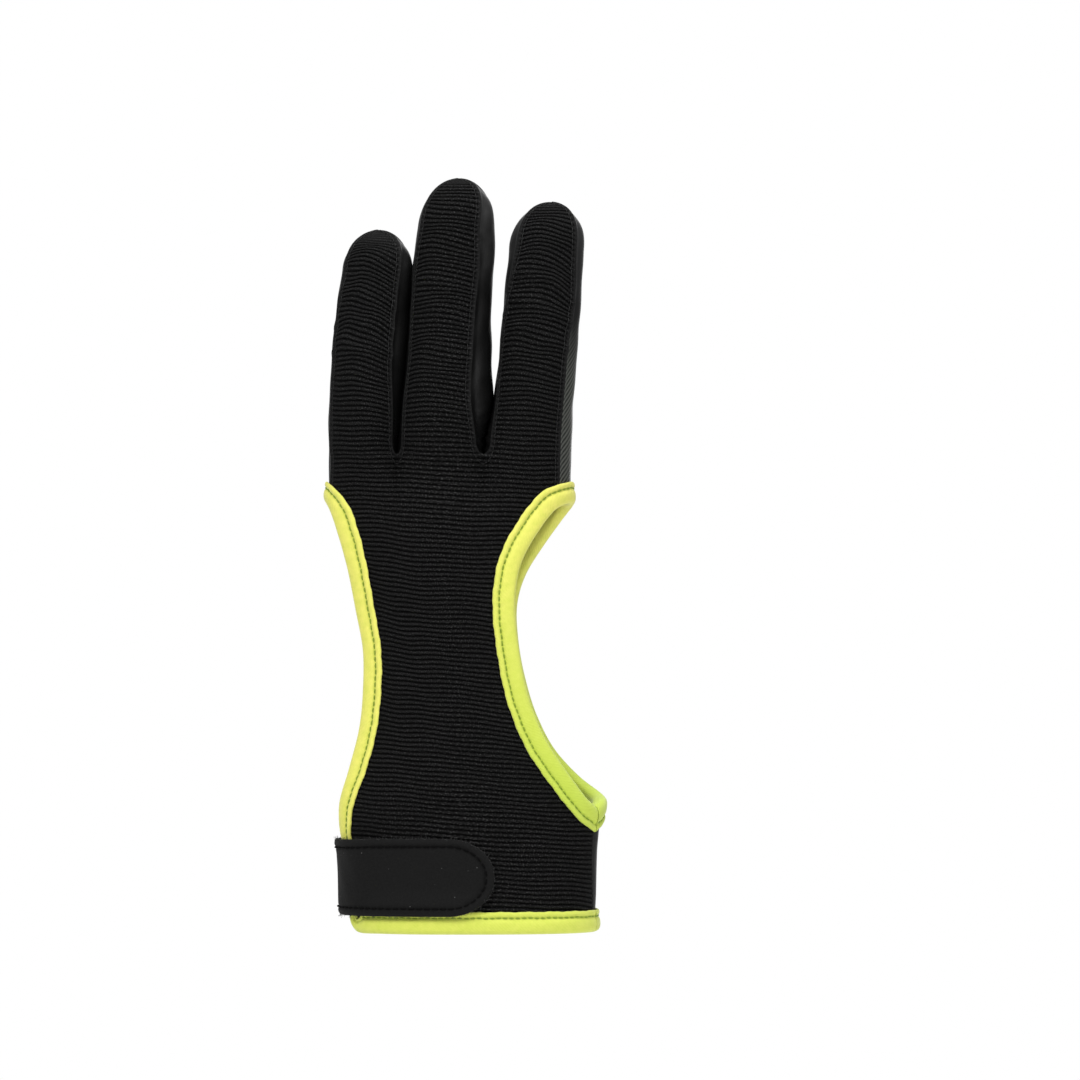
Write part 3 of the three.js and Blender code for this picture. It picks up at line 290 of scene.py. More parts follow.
THUMB_LINE = smooth_line(np.radians(THUMB_EDGE["turn"]), THUMB_EDGE["up"] * HAND_LENGTH, 0.6)
SIDE_LINE = smooth_line(np.radians(SIDE_EDGE["turn"]), SIDE_EDGE["up"] * HAND_LENGTH, 0.6)
THUMB_CLOTH = moved_edge(*THUMB_LINE, 1, CLOTH_EDGE)
SIDE_CLOTH = moved_edge(*SIDE_LINE, -1, CLOTH_EDGE)


def seam_turn(height):
    """Turn of the wrist seam, from the hem to the lowest corner of the thumb opening."""
    return np.radians(mix(SEAM_TURN_HEM, SEAM_TURN_TOP, np.minimum(height / (THUMB_EDGE["up"][0] * HAND_LENGTH), 1)))


def cuff_top():
    along = edge_frames(*THUMB_LINE, 1)[1]
    slants = [math.sqrt(1 - along[end, 2] ** 2) for end in (0, -1)]
    return THUMB_EDGE["up"][0] * HAND_LENGTH - CLOTH_EDGE / min(slants)


CUFF_TOP = cuff_top()


def half_edge(edge, on_back):
    """Heights and turns of the back's or palm's half of an edge, from low to high."""
    turn, height = edge
    top = int(np.argmax(height))
    turn, height = (turn[:top + 1], height[:top + 1]) if on_back else (turn[top:], height[top:])
    order = np.argsort(height, kind="stable")
    return height[order], turn[order]


def thumb_cloth_turn(height, on_back):
    heights, turns = half_edge(THUMB_CLOTH, on_back)
    keep = heights > CUFF_TOP + 1
    heights, turns = np.insert(heights[keep], 0, CUFF_TOP), np.insert(turns[keep], 0, seam_turn(CUFF_TOP))
    turn = np.where(height <= CUFF_TOP, seam_turn(height), np.interp(height, heights, turns))
    return turn + (0 if on_back else FULL_TURN)


def side_cloth_turn(height, on_back):
    turn = np.interp(np.maximum(height, HEM_CORNER_RADIUS), *half_edge(SIDE_CLOTH, on_back))
    inner = HEM_CORNER_RADIUS - CLOTH_EDGE
    drop = np.clip(HEM_CORNER_RADIUS - height, 0, inner)
    inwards = (inner - np.sqrt(inner * inner - drop * drop)) / SKIN_ARM
    return turn + (-inwards if on_back else inwards)


def opening_corner(edge, turn):
    """Highest place where an edge passes a turn."""
    turns, heights = unwrapped(edge[0], turn), edge[1]
    passes = (turns[:-1] - turn) * (turns[1:] - turn) <= 0
    share = (turn - turns[:-1]) / np.where(turns[1:] == turns[:-1], 1, turns[1:] - turns[:-1])
    return float(np.max(mix(heights[:-1], heights[1:], share)[passes]))


def seam_turns(finger, along, on_back):
    section = finger_section(finger, along, on_back)
    extra = 0 if on_back else FULL_TURN
    return (turn_of_reach(section["seam_right"], FINGER_POWER, on_back) + extra,
            turn_of_reach(-section["seam_left"], FINGER_POWER, on_back) + extra)


def root_turn(finger, share, on_back):
    """Turn round the hand of a share of a finger's lane where it meets the webs."""
    right, left = seam_turns(finger, 0, on_back)
    x = finger_point(finger, mix(right, left, share), 0)[..., 0]
    return unwrapped(turn_at_web(x, on_back), np.pi / 2 if on_back else 1.5 * np.pi)


def along_of_rise(finger, rise):
    """Share of a finger's length at a distance along its highest line, which runs on round the tip."""
    along = np.linspace(0, 1, 600)
    line = finger_point(finger, np.full(600, np.pi / 2), along)
    length = np.concatenate([[0], np.cumsum(np.linalg.norm(np.diff(line, axis=0), axis=1))])
    return np.interp(rise, length, along), length[-1]


def panel_grid(on_back, step, slope, arches):
    """The panel's rows and columns of points, lane by lane from the index finger to the ring finger. Rows are
    step apart, fall by slope towards the thumb, and arch over the fingers."""
    right_turn, left_turn = float(root_turn(INDEX, 0.0, on_back)), float(root_turn(RING, 1.0, on_back))
    right_corner, left_corner = opening_corner(THUMB_CLOTH, right_turn), opening_corner(SIDE_CLOTH, left_turn)
    span = left_turn - right_turn
    borders = [(float(root_turn(finger, 1.0, on_back)) - right_turn) / span for finger in FINGERS[:2]]
    stops = [0, *borders, 1]
    web = HAND_LENGTH - CLOTH_EDGE

    def slant(rise, share, top):
        fade = smooth_step(0, 6, rise) * (1 - smooth_step(top - 14, top - 2, rise))
        steep = np.interp(rise, [0, 30, 100, web], [1, 1, 0.75, 0.45])
        sway = 0.3 * np.sin(share * 9 + rise * 0.07) + 0.15 * np.sin(share * 23 - rise * 0.19)
        sway = sway + smooth_step(140, 156, rise) * (
            0.14 * np.sin(share * 31 + rise * 0.23) + 0.28 * np.sin(rise * 0.6 + share * 13))
        return (slope * steep * (share - 0.5) * PANEL_ACROSS + (sway if slope else 0)) * fade

    fixed = []
    for border in borders:
        row = int(round((web - float(slant(web, border, 200))) / step))
        fixed.append((border, row, web - row * step - float(slant(row * step, border, 200))))
    lanes = []
    for number, (finger, arch) in enumerate(zip(FINGERS, arches)):
        top = web + along_of_rise(finger, 0)[1]
        place = np.append(np.arange(0, top - step / 3, step), top)[:, None]
        lane = LANE_SHARES[None, :]
        share = (root_turn(finger, LANE_SHARES, on_back)[None, :] - right_turn) / span
        rise = place + slant(place, share, top)
        up = np.clip((place - web) / (top - web), 0, 1)
        tip = (1 - smooth_step(top - 14, top - 2, place)) * smooth_step(web - 12, web + 12, place)
        tilt = np.interp(up, arch["up"], arch["tilt"]) * smooth_step(web, web + 10, place)
        bow = np.interp(up, arch["up"], arch["arch"]) * (1 - (2 * lane - 1) ** 2) ** 1.6
        rise = rise + (bow + tilt * (2 * lane - 1)) * tip
        for border, row, lift in fixed:
            stop = stops.index(border)
            near = np.interp(share, [stops[stop - 1], border, stops[stop + 1]], [0, 1, 0])
            rise = rise + lift * near * np.exp(-((place - row * step) / 3) ** 2)
        rise = np.minimum(rise, top) - web
        rise[-1] = top - web
        height = np.minimum(rise, 0) + HAND_LENGTH
        right = np.where(height >= right_corner, right_turn, thumb_cloth_turn(height, on_back))
        left = np.where(height >= left_corner, left_turn, side_cloth_turn(height, on_back))
        hand = hand_point(mix(right, left, share), height)
        along = along_of_rise(finger, np.maximum(rise, 0))[0]
        seams = seam_turns(finger, along, on_back)
        points = np.where((rise > 0)[..., None], finger_point(finger, mix(*seams, lane), along), hand)
        steps = np.linalg.norm(np.diff(points, axis=1), axis=2)
        from_right = np.concatenate([np.zeros((len(place), 1)), np.cumsum(steps, axis=1)], axis=1)
        lanes.append(dict(points=points, rise=rise, place=place + 0 * rise, share=share + 0 * rise,
                          from_right=from_right, from_left=from_right[:, -1:] - from_right,
                          from_tip=top - place + 0 * rise))
    webs = [row for _, row, _ in fixed]
    return lanes, webs, (right_corner - HAND_LENGTH, left_corner - HAND_LENGTH)


def joined(lanes, webs):
    """One list of points from the lanes, which share their border points up to each web, and its faces."""
    numbers, count = [], 0
    for lane, data in enumerate(lanes):
        shape = data["points"].shape[:2]
        number = np.arange(count, count + shape[0] * shape[1]).reshape(shape)
        count += number.size
        if lane:
            number[:webs[lane - 1] + 1, 0] = numbers[lane - 1][:webs[lane - 1] + 1, -1]
        numbers.append(number)
    faces = [np.stack([n[:-1, :-1], n[:-1, 1:], n[1:, 1:], n[1:, :-1]], axis=-1).reshape(-1, 4) for n in numbers]
    return np.vstack(faces)


def point_normals(points, faces):
    corners = points[faces]
    normals = np.cross(corners[:, 2] - corners[:, 0], corners[:, 3] - corners[:, 1])
    total = np.zeros_like(points)
    for corner in range(4):
        np.add.at(total, faces[:, corner], normals)
    return unit(total)


def open_edges(faces):
    """Directed edges that only one face has."""
    edges = np.concatenate([faces[:, [i, (i + 1) % 4]] for i in range(4)])
    edges = edges[edges[:, 0] != edges[:, 1]]
    size = int(faces.max()) + 1
    keys, turned = edges[:, 0] * size + edges[:, 1], edges[:, 1] * size + edges[:, 0]
    return edges[~np.isin(keys, turned)]


def give_field(mesh, name, values):
    """Keeps a number or a direction for each point of a mesh."""
    kind, part = ("FLOAT_VECTOR", "vector") if values.ndim > 1 else ("FLOAT", "value")
    mesh.attributes.new(name, kind, "POINT").data.foreach_set(part, values.astype(np.float32).ravel())


def in_scene(name, data):
    """A new object of the scene with this mesh, camera or lamp."""
    thing = bpy.data.objects.new(name, data)
    bpy.context.scene.collection.objects.link(thing)
    return thing


def wall_of_cloth(name, points, faces, gap, lift, fields):
    """A closed wall of cloth under the given outer points, pulled back from its open edges by half the seam gap.
    Lift raises the outer side only. Fields are numbers that the finish reads."""
    normals, edges = point_normals(points, faces), open_edges(faces)
    pulls = np.zeros_like(points)
    along = unit(points[edges[:, 1]] - points[edges[:, 0]])
    for end in (0, 1):
        np.add.at(pulls, edges[:, end], unit(np.cross(normals[edges[:, end]], along)))
    size = np.linalg.norm(pulls, axis=1, keepdims=True)
    pull = np.where(size > 0.3, pulls / np.maximum(size, 1e-6), 0)
    outer = points + pull * EDGE_PULL + normals * lift[:, None]
    inner = points + pull * gap - normals * CLOTH_WALL
    count = len(points)
    rim = np.stack([edges[:, 1], edges[:, 0], edges[:, 0] + count, edges[:, 1] + count], axis=1)
    quads = np.vstack([faces, faces[:, ::-1] + count, rim])
    used, quads = np.unique(quads, return_inverse=True)
    quads = quads.reshape(-1, 4)
    mesh = bpy.data.meshes.new(name)
    corners = [tuple(dict.fromkeys(quad)) for quad in quads.tolist()]
    mesh.from_pydata((np.vstack([outer, inner])[used] / 1000).tolist(), [], [c for c in corners if len(c) > 2])
    fields = dict(fields, out=normals)
    for key, values in fields.items():
        give_field(mesh, key, np.concatenate([values, values * (0 if key == "relief" else 1)])[used])
    mesh.shade_smooth()
    return in_scene(name, mesh), normals


def node(tree, kind, sockets=(), **settings):
    """Adds a node. Sockets are numbers, colours or the sockets that they're linked from."""
    made = tree.nodes.new(kind)
    for name, value in settings.items():
        setattr(made, name, value)
    for name, value in dict(sockets).items():
        if isinstance(value, bpy.types.NodeSocket):
            tree.links.new(value, made.inputs[name])
        else:
            made.inputs[name].default_value = value
    return made


def colour(code):
    """Linear colour of an sRGB hex value."""
    parts = [int(code[at:at + 2], 16) / 255 for at in (1, 3, 5)]
    return (*(c / 12.92 if c <= 0.04045 else ((c + 0.055) / 1.055) ** 2.4 for c in parts), 1)


def finish_for(name, sockets=()):
    """A new material with a plain shader and what is the same all over it: the material, its tree and the shader."""
    material = bpy.data.materials.new(name)
    material.use_nodes = True
    shader = material.node_tree.nodes["Principled BSDF"]
    for label, value in dict(sockets).items():
        shader.inputs[label].default_value = value
    return material, material.node_tree, shader


def geometry_tree(name, inputs):
    """An empty node tree that takes a shape and named sizes and gives a shape."""
    tree = bpy.data.node_groups.new(name, "GeometryNodeTree")
    tree.interface.new_socket("Geometry", in_out="INPUT", socket_type="NodeSocketGeometry")
    tree.interface.new_socket("Geometry", in_out="OUTPUT", socket_type="NodeSocketGeometry")
    for label, value in inputs.items():
        kind = "NodeSocketMaterial" if value is bpy.types.Material else "NodeSocketFloat"
        tree.interface.new_socket(label, in_out="INPUT", socket_type=kind)
    return tree, tree.nodes.new("NodeGroupInput"), tree.nodes.new("NodeGroupOutput")


def grown(piece, tree, values):
    """Runs a node tree on a piece with these values and keeps the result as its plain mesh."""
    modifier = piece.modifiers.new(tree.name, "NODES")
    modifier.node_group = tree
    for item in tree.interface.items_tree:
        if item.in_out == "INPUT" and item.name in values:
            modifier[item.identifier] = values[item.name]
    graph = bpy.context.evaluated_depsgraph_get()
    mesh = bpy.data.meshes.new_from_object(piece.evaluated_get(graph))
    piece.modifiers.clear()
    old, piece.data = piece.data, mesh
    bpy.data.meshes.remove(old)
    mesh.name = piece.name
    return piece


def laid_panel(name, on_back, step, slope, arches, relief_of, lift_of):
    """A panel of cloth over the hand and three fingers, with ridges where it is sewn to the finger walls."""
    lanes, webs, corners = panel_grid(on_back, step, slope, arches)
    for number, lane in enumerate(lanes):
        rise = lane["rise"]
        right = smooth_step(corners[0] - 0.5, corners[0] + 1, rise) if number == 0 else smooth_step(-1.1, 0.3, rise)
        left = smooth_step(corners[1] - 0.5, corners[1] + 1, rise) if number == 2 else smooth_step(-1.1, 0.3, rise)
        tip = np.exp(-(lane["from_tip"] / TIP_RIDGE_WIDTH) ** 2)
        ridge = (right * np.exp(-(lane["from_right"] / RIDGE_WIDTH) ** 2)
                 + left * np.exp(-(lane["from_left"] / RIDGE_WIDTH) ** 2))
        lane["ridge"] = np.maximum(ridge, tip)
        lane["lift"] = SEAM_RIDGE * lane["ridge"] + lift_of(number, lane)
        lane["relief"] = relief_of(number, lane) * (1 - lane["ridge"])
    faces = joined(lanes, webs)
    faces = faces[:, ::-1] if on_back else faces
    flat = {key: np.concatenate([lane[key].ravel() for lane in lanes])
            for key in ("place", "share", "lift", "relief", "ridge")}
    points = np.vstack([lane["points"].reshape(-1, 3) for lane in lanes])
    weave = np.stack([flat["share"] * WEAVE_ACROSS, flat["place"], 0 * flat["share"]], axis=1)
    piece, normals = wall_of_cloth(name, points, faces, SEAM_GAP / 2, flat["lift"], dict(
        ribs=flat["place"] / RIB_PITCH, relief=flat["relief"], ridge=flat["ridge"], weave=weave))
    start = 0
    for lane in lanes:
        lane["normals"] = normals[start:start + lane["rise"].size].reshape(lane["points"].shape)
        start += lane["rise"].size
    return piece, lanes, webs


LANE_SHARES = np.array([0, 0.016, 0.034, 0.056, 0.09, 0.15, 0.24, 0.35, 0.46, 0.57, 0.68, 0.78, 0.86, 0.915,
                        0.946, 0.966, 0.984, 1])
SEAM_GAP, SEAM_RIDGE, RIDGE_WIDTH, TIP_RIDGE_WIDTH = 0.26, 0.5, 0.62, 0.7
PANEL_ACROSS, WEAVE_ACROSS = 60, 62
RIB_PITCH, RIB_HEIGHT, RIB_SLOPE, ROWS_A_RIB = 1.3, 0.36, 0.09, 5
# How far the ribs arch over each finger, and how far they droop towards the thumb
INDEX_ARCH = table("up arch tilt", (0, 0.2, 0), (0.25, 0.9, 0.2), (0.5, 1.4, 0.8), (0.66, 2.2, 2.1), (0.84, 1.8, 1.3),
                   (1, 0, 0))
MIDDLE_ARCH = table("up arch tilt", (0, 0.3, 0), (0.3, 1.1, 0.3), (0.7, 1.5, 0.6), (1, 0, 0))
RING_ARCH = table("up arch tilt", (0, 0.3, 0), (0.3, 1.6, 0.6), (0.52, 2.7, 1.5), (0.74, 2.3, 1.2), (1, 0, 0))


def back_relief(number, lane):
    tip_ramp = smooth_step(2, 16, lane["from_tip"]) if number == 2 else smooth_step(1, 6, lane["from_tip"])
    return (0.35 + 0.65 * tip_ramp) * (1 - 0.35 * smooth_step(0.94, 1, lane["share"]))


def back_folds(number, lane):
    """Low waves where the cloth is pulled and bunches up, in millimetres."""
    place, share = lane["place"], lane["share"]
    low = 0.16 * np.sin(place * 0.21 + share * 5) * np.sin(place * 0.047 + share * 11 + 1)
    joint = 0
    for at, depth in (((159, 0.45), (166, 0.35), (173, 0.3)), ((160, 0.16), (178, 0.14)),
                      ((164, 0.4), (171, 0.5), (178, 0.35)))[2 - number]:
        joint = joint + depth * np.exp(-((place - at - 4 * (share * 3 % 1 - 0.5)) / 1.6) ** 2)
    hem = smooth_step(3, 9, place) * smooth_step(4, 12, lane["from_tip"])
    return (low + joint) * hem


back, back_lanes, back_webs = laid_panel(
    "ribbed_back", True, RIB_PITCH / ROWS_A_RIB, RIB_SLOPE, (INDEX_ARCH, MIDDLE_ARCH, RING_ARCH),
    back_relief, back_folds)

# Polyester and rubber elastic, woven with a rib at every weft: matt black, a dull grey on each rib, with painted shade
# near-black in the grooves and painted highlight specks along the rib tops
elastic, tree, shader = finish_for("ribbed_elastic", {
    "Sheen Weight": 0.015, "Sheen Roughness": 0.4, "Specular IOR Level": 0.05})
ribs = node(tree, "ShaderNodeAttribute", attribute_name="ribs")
crown = node(tree, "ShaderNodeMath", {0: node(tree, "ShaderNodeMath", {
    0: node(tree, "ShaderNodeMath", {0: ribs.outputs["Fac"]}, operation="FRACT").outputs[0], 1: math.pi},
    operation="MULTIPLY").outputs[0]}, operation="SINE")
weave = node(tree, "ShaderNodeAttribute", attribute_name="weave")
wales = node(tree, "ShaderNodeTexWave", {
    "Vector": weave.outputs["Vector"], "Scale": 1 / (0.55 * math.pi), "Distortion": 1.2, "Detail": 2.0,
    "Detail Scale": 2.0}, wave_type="BANDS", bands_direction="X")
dust = node(tree, "ShaderNodeTexNoise", {"Vector": weave.outputs["Vector"], "Scale": 0.16, "Detail": 5.0})
lint = node(tree, "ShaderNodeTexNoise", {"Vector": weave.outputs["Vector"], "Scale": 2.4, "Detail": 2.0})
light = node(tree, "ShaderNodeMapRange", {0: lint.outputs["Fac"], 1: 0.35, 2: 0.75, 3: 0.0, 4: 1.0})
thread = node(tree, "ShaderNodeMix", {
    "Factor": light.outputs[0], "A": colour("#111111"), "B": colour("#232323")}, data_type="RGBA")
relief = node(tree, "ShaderNodeAttribute", attribute_name="relief")
ridge = node(tree, "ShaderNodeAttribute", attribute_name="ridge")
# Painted shade: the grooves between ribs are darkened to near black, less where the ribs are flatter
rib_groove_shade = node(tree, "ShaderNodeMapRange", {0: crown.outputs[0], 1: 0.5, 2: 1.0, 3: 1.0, 4: 0.0})
groove = node(tree, "ShaderNodeMath", {0: rib_groove_shade.outputs[0], 1: relief.outputs["Fac"]}, operation="MULTIPLY")
cloth = node(tree, "ShaderNodeMix", {
    "Factor": groove.outputs[0], "A": thread.outputs["Result"], "B": colour("#020202")}, data_type="RGBA")
# Painted highlight: fine light specks along the top of each rib, where twisted yarn catches the light
glint = node(tree, "ShaderNodeTexNoise", {"Vector": weave.outputs["Vector"], "Scale": 3.2, "Detail": 1.0})
fleck = node(tree, "ShaderNodeMapRange", {0: glint.outputs["Fac"], 1: 0.57, 2: 0.68, 3: 0.0, 4: 0.75})
on_top = node(tree, "ShaderNodeMath", {0: fleck.outputs[0], 1: crown.outputs[0]}, operation="MULTIPLY")
flecked = node(tree, "ShaderNodeMix", {
    "Factor": on_top.outputs[0], "A": cloth.outputs["Result"], "B": colour("#484848")}, data_type="RGBA")
# Painted highlight: the raised seam ridges are lightened towards grey
ridge_highlight = node(tree, "ShaderNodeMath", {0: ridge.outputs["Fac"], 1: 0.6}, operation="MULTIPLY")
ridge_lit = node(tree, "ShaderNodeMix", {
    "Factor": ridge_highlight.outputs[0], "A": flecked.outputs["Result"], "B": colour("#222222")}, data_type="RGBA")
tree.links.new(ridge_lit.outputs["Result"], shader.inputs["Base Color"])
depth = node(tree, "ShaderNodeMapRange", {0: dust.outputs["Fac"], 1: 0.35, 2: 0.7, 3: 0.66, 4: 0.82})
tree.links.new(depth.outputs[0], shader.inputs["Roughness"])
fuzz = node(tree, "ShaderNodeMath", {0: wales.outputs["Fac"], 1: lint.outputs["Fac"]}, operation="ADD")
bump = node(tree, "ShaderNodeBump", {"Height": fuzz.outputs[0], "Strength": 0.5, "Distance": 0.00012})
tree.links.new(bump.outputs[0], shader.inputs["Normal"])

# Each rib stands out of the cloth by its height, with a sharp groove between it and the next
tree, ins, outs = geometry_tree("raised_ribs", {"Rib Height": float, "Cloth": bpy.types.Material})
ribs = node(tree, "GeometryNodeInputNamedAttribute", {"Name": "ribs"}, data_type="FLOAT")
relief = node(tree, "GeometryNodeInputNamedAttribute", {"Name": "relief"}, data_type="FLOAT")
away = node(tree, "GeometryNodeInputNamedAttribute", {"Name": "out"}, data_type="FLOAT_VECTOR")
within = node(tree, "ShaderNodeMath", {0: ribs.outputs["Attribute"]}, operation="FRACT")
turned = node(tree, "ShaderNodeMath", {0: within.outputs[0], 1: math.pi}, operation="MULTIPLY")
swell = node(tree, "ShaderNodeMath", {0: turned.outputs[0]}, operation="SINE")
round_top = node(tree, "ShaderNodeMath", {0: swell.outputs[0], 1: 0.7}, operation="POWER")
tall = node(tree, "ShaderNodeMath", {0: round_top.outputs[0], 1: ins.outputs["Rib Height"]}, operation="MULTIPLY")
seen = node(tree, "ShaderNodeMath", {0: tall.outputs[0], 1: relief.outputs["Attribute"]}, operation="MULTIPLY")
offset = node(tree, "ShaderNodeVectorMath", {0: away.outputs["Attribute"], "Scale": seen.outputs[0]},
              operation="SCALE")
moved = node(tree, "GeometryNodeSetPosition", {
    "Geometry": ins.outputs["Geometry"], "Offset": offset.outputs["Vector"]})
whole = node(tree, "GeometryNodeRealizeInstances", {"Geometry": moved.outputs[0]})
done = node(tree, "GeometryNodeSetMaterial", {"Geometry": whole.outputs[0], "Material": ins.outputs["Cloth"]})
tree.links.new(done.outputs[0], outs.inputs["Geometry"])
grown(back, tree, {"Rib Height": RIB_HEIGHT / 1000, "Cloth": elastic})


def kept(piece, node_names):
    """A finished piece of cloth stands for its solid, rides with the glove and has the size it was cut to."""
    piece.data.set_sharp_from_angle(angle=math.radians(60))
    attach(piece, "root")
    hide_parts(*node_names)


kept(back, ["back_panel"])


# Palm panel
# The palm side of the hand and of the three fingers, one piece of thin smooth black leather. It is sewn to
# the finger walls with the same narrow seams, and creases a little where the fingers bend.

def palm_relief(number, lane):
    return 0 * lane["rise"]


def palm_folds(number, lane):
    place, share = lane["place"], lane["share"]
    joints = ((132, 158, 178), (132, 160, 183), (132, 156, 174))[number]
    crease = sum(np.exp(-((place - at - 1.5 * np.sin(share * 12)) / 1.1) ** 2) for at in joints)
    return (0.12 * np.sin(place * 0.13 + share * 7) - 0.22 * crease) * smooth_step(3, 9, place)


FLAT_ARCH = table("up arch tilt", (0, 0, 0), (1, 0, 0))
palm, palm_lanes, palm_webs = laid_panel(
    "leather_palm", False, 0.9, 0.0, (FLAT_ARCH, FLAT_ARCH, FLAT_ARCH), palm_relief, palm_folds)

# Thin goat leather, drum dyed and only lightly finished: black, close grained, a dull satin light
palm_leather, tree, shader = finish_for("smooth_palm_leather", {"Specular IOR Level": 0.14})
weave = node(tree, "ShaderNodeAttribute", attribute_name="weave")
pores = node(tree, "ShaderNodeTexVoronoi", {"Vector": weave.outputs["Vector"], "Scale": 1 / 0.7},
             feature="SMOOTH_F1")
clouds = node(tree, "ShaderNodeTexNoise", {"Vector": weave.outputs["Vector"], "Scale": 0.12, "Detail": 4.0})
tone = node(tree, "ShaderNodeMix", {"Factor": clouds.outputs["Fac"], "A": colour("#121212"), "B": colour("#1D1D1C")},
            data_type="RGBA")
tree.links.new(tone.outputs["Result"], shader.inputs["Base Color"])
gloss = node(tree, "ShaderNodeMapRange", {0: clouds.outputs["Fac"], 1: 0.3, 2: 0.7, 3: 0.4, 4: 0.55})
tree.links.new(gloss.outputs[0], shader.inputs["Roughness"])
bump = node(tree, "ShaderNodeBump", {"Height": pores.outputs["Distance"], "Strength": 0.35, "Distance": 0.00015})
tree.links.new(bump.outputs[0], shader.inputs["Normal"])
palm.data.materials.append(palm_leather)
kept(palm, ["palm_panel"])


# Finger walls
# Narrow strips of smooth black stretch leather between the back and the palm. Two run down one finger, round
# the web and up the next; the ring finger's outer side and the index finger's outer side have one each.

WALL_RIDGE_WIDTH = 0.7
WALL_SHARES = np.array([0, 0.03, 0.06, 0.1, 0.16, 0.24, 0.33, 0.42, 0.5, 0.58, 0.67, 0.76, 0.84, 0.9, 0.94, 0.97, 1])


def side_rows(finger, outward, along):
    """Rows of points across a finger's side wall, from the back's seam to the palm's."""
    side = 0 if outward > 0 else 1
    back_turn = seam_turns(finger, along, True)[side]
    palm_turn = seam_turns(finger, along, False)[side] - (FULL_TURN if outward > 0 else 0)
    turn = mix(back_turn[:, None], palm_turn[:, None], WALL_SHARES[None, :])
    return finger_point(finger, turn, along[:, None])


def down_the_side(finger, outward):
    """The wall's rows from the fingertip down to where the web begins."""
    top = along_of_rise(finger, 0)[1]
    rises = np.linspace(top, WEB_RISE, int(top / 0.8))
    along = along_of_rise(finger, rises)[0]
    along[0], along[-1] = 1, WEB_RISE / finger["length"]
    return side_rows(finger, outward, along)


def round_the_web(finger, outward, steps):
    """The wall's rows from the web's lowest point up to where the finger's side begins."""
    angle = np.linspace(0, np.pi / 2, steps + 1)[:-1]
    edge = side_rows(finger, outward, WEB_RISE * (1 - np.cos(angle)) / finger["length"])
    top = side_rows(finger, outward, np.array([WEB_RISE / finger["length"]]))
    web = lane_of(finger)[1 if outward > 0 else 0]
    deep = (top[..., 1] - top[:, :1, 1]) / (top[:, -1:, 1] - top[:, :1, 1])
    rows = np.stack(np.broadcast_arrays(
        mix(web, top[..., 0], np.sin(angle)[:, None]), mix(edge[:, :1, 1], edge[:, -1:, 1], deep), edge[:, :1, 2]), -1)
    rows[:, 0], rows[:, -1] = edge[:, 0], edge[:, -1]
    return rows


def puffed(rows, towards, heights, sizes):
    """Puffs a side wall out where the finger inside presses it, most a little towards the palm."""
    shape = np.sin(np.pi * WALL_SHARES ** 1.3)[None, :]
    rows = rows.copy()
    rows[..., 0] += towards * np.interp(rows[..., 2], heights, sizes) * shape
    return rows


def laid_wall(name, rows, points_at, flip, folds_of, node_name):
    """A side wall of cloth through rows of points. It runs out to a point at each fingertip row."""
    number = np.arange(rows[..., 0].size).reshape(rows.shape[:2])
    for row in points_at:
        number[row] = number[row, 0]
    faces = np.stack([number[:-1, :-1], number[:-1, 1:], number[1:, 1:], number[1:, :-1]], axis=-1).reshape(-1, 4)
    faces = faces[:, ::-1] if flip else faces
    steps = np.linalg.norm(np.diff(rows, axis=1), axis=2)
    across = np.concatenate([np.zeros((len(rows), 1)), np.cumsum(steps, axis=1)], axis=1)
    middle = rows[:, rows.shape[1] // 2]
    down = np.concatenate([[0], np.cumsum(np.linalg.norm(np.diff(middle, axis=0), axis=1))])[:, None] + 0 * across
    seam = np.minimum(across, across[:, -1:] - across)
    ridge = np.exp(-(seam / WALL_RIDGE_WIDTH) ** 2)
    lift = SEAM_RIDGE * ridge + folds_of(across, down, rows) * (1 - ridge)
    even = WALL_SHARES[None, :] * across[:, -1].mean() + 0 * down
    weave = np.stack([even, down, 0 * down], axis=-1).reshape(-1, 3)
    backing = smooth_step(172, 152, rows[..., 2]) * (node_name == "index_outer_wall")
    piece, _ = wall_of_cloth(name, rows.reshape(-1, 3), faces, SEAM_GAP / 2, lift.ravel(), dict(
        weave=weave, ridge=ridge.ravel(), height=rows[..., 2].ravel(), backing=backing.ravel()))
    piece.data.materials.append(wall_leather)
    kept(piece, [node_name])
    return piece


def calm(across, down, rows):
    return 0.12 * np.sin(down * 0.42 + across * 0.5) * np.sin(down * 0.11 + 1)


def creased(across, down, rows):
    """Zigzag creases near the web, where the fingers push the wall together."""
    low = 1 - smooth_step(136, 152, rows[..., 2])
    zigzag = np.abs(((down * 0.32 + 0.9 * np.abs(across / 4 % 2 - 1)) % 1) - 0.5)
    return 0.12 * np.sin(down * 0.42 + across * 0.5) + low * (0.7 * np.exp(-(zigzag / 0.14) ** 2) - 0.25)


# Smooth nappa-like leather, finished with a thin coat: black with a soft sheen along each bend, and a painted
# highlight in grey cloudy patches towards the fingertips. Low on the index finger its outer side is bare grey twill,
# whose cords are drawn 0.8 mm apart, coarser than in real twill, so that they show.
wall_leather, tree, shader = finish_for("smooth_wall_leather", {"Specular IOR Level": 0.2})
weave = node(tree, "ShaderNodeAttribute", attribute_name="weave")
height = node(tree, "ShaderNodeAttribute", attribute_name="height")
clouds = node(tree, "ShaderNodeTexNoise", {"Vector": weave.outputs["Vector"], "Scale": 0.2, "Detail": 5.0})
grain = node(tree, "ShaderNodeTexVoronoi", {"Vector": weave.outputs["Vector"], "Scale": 1 / 0.5}, feature="SMOOTH_F1")
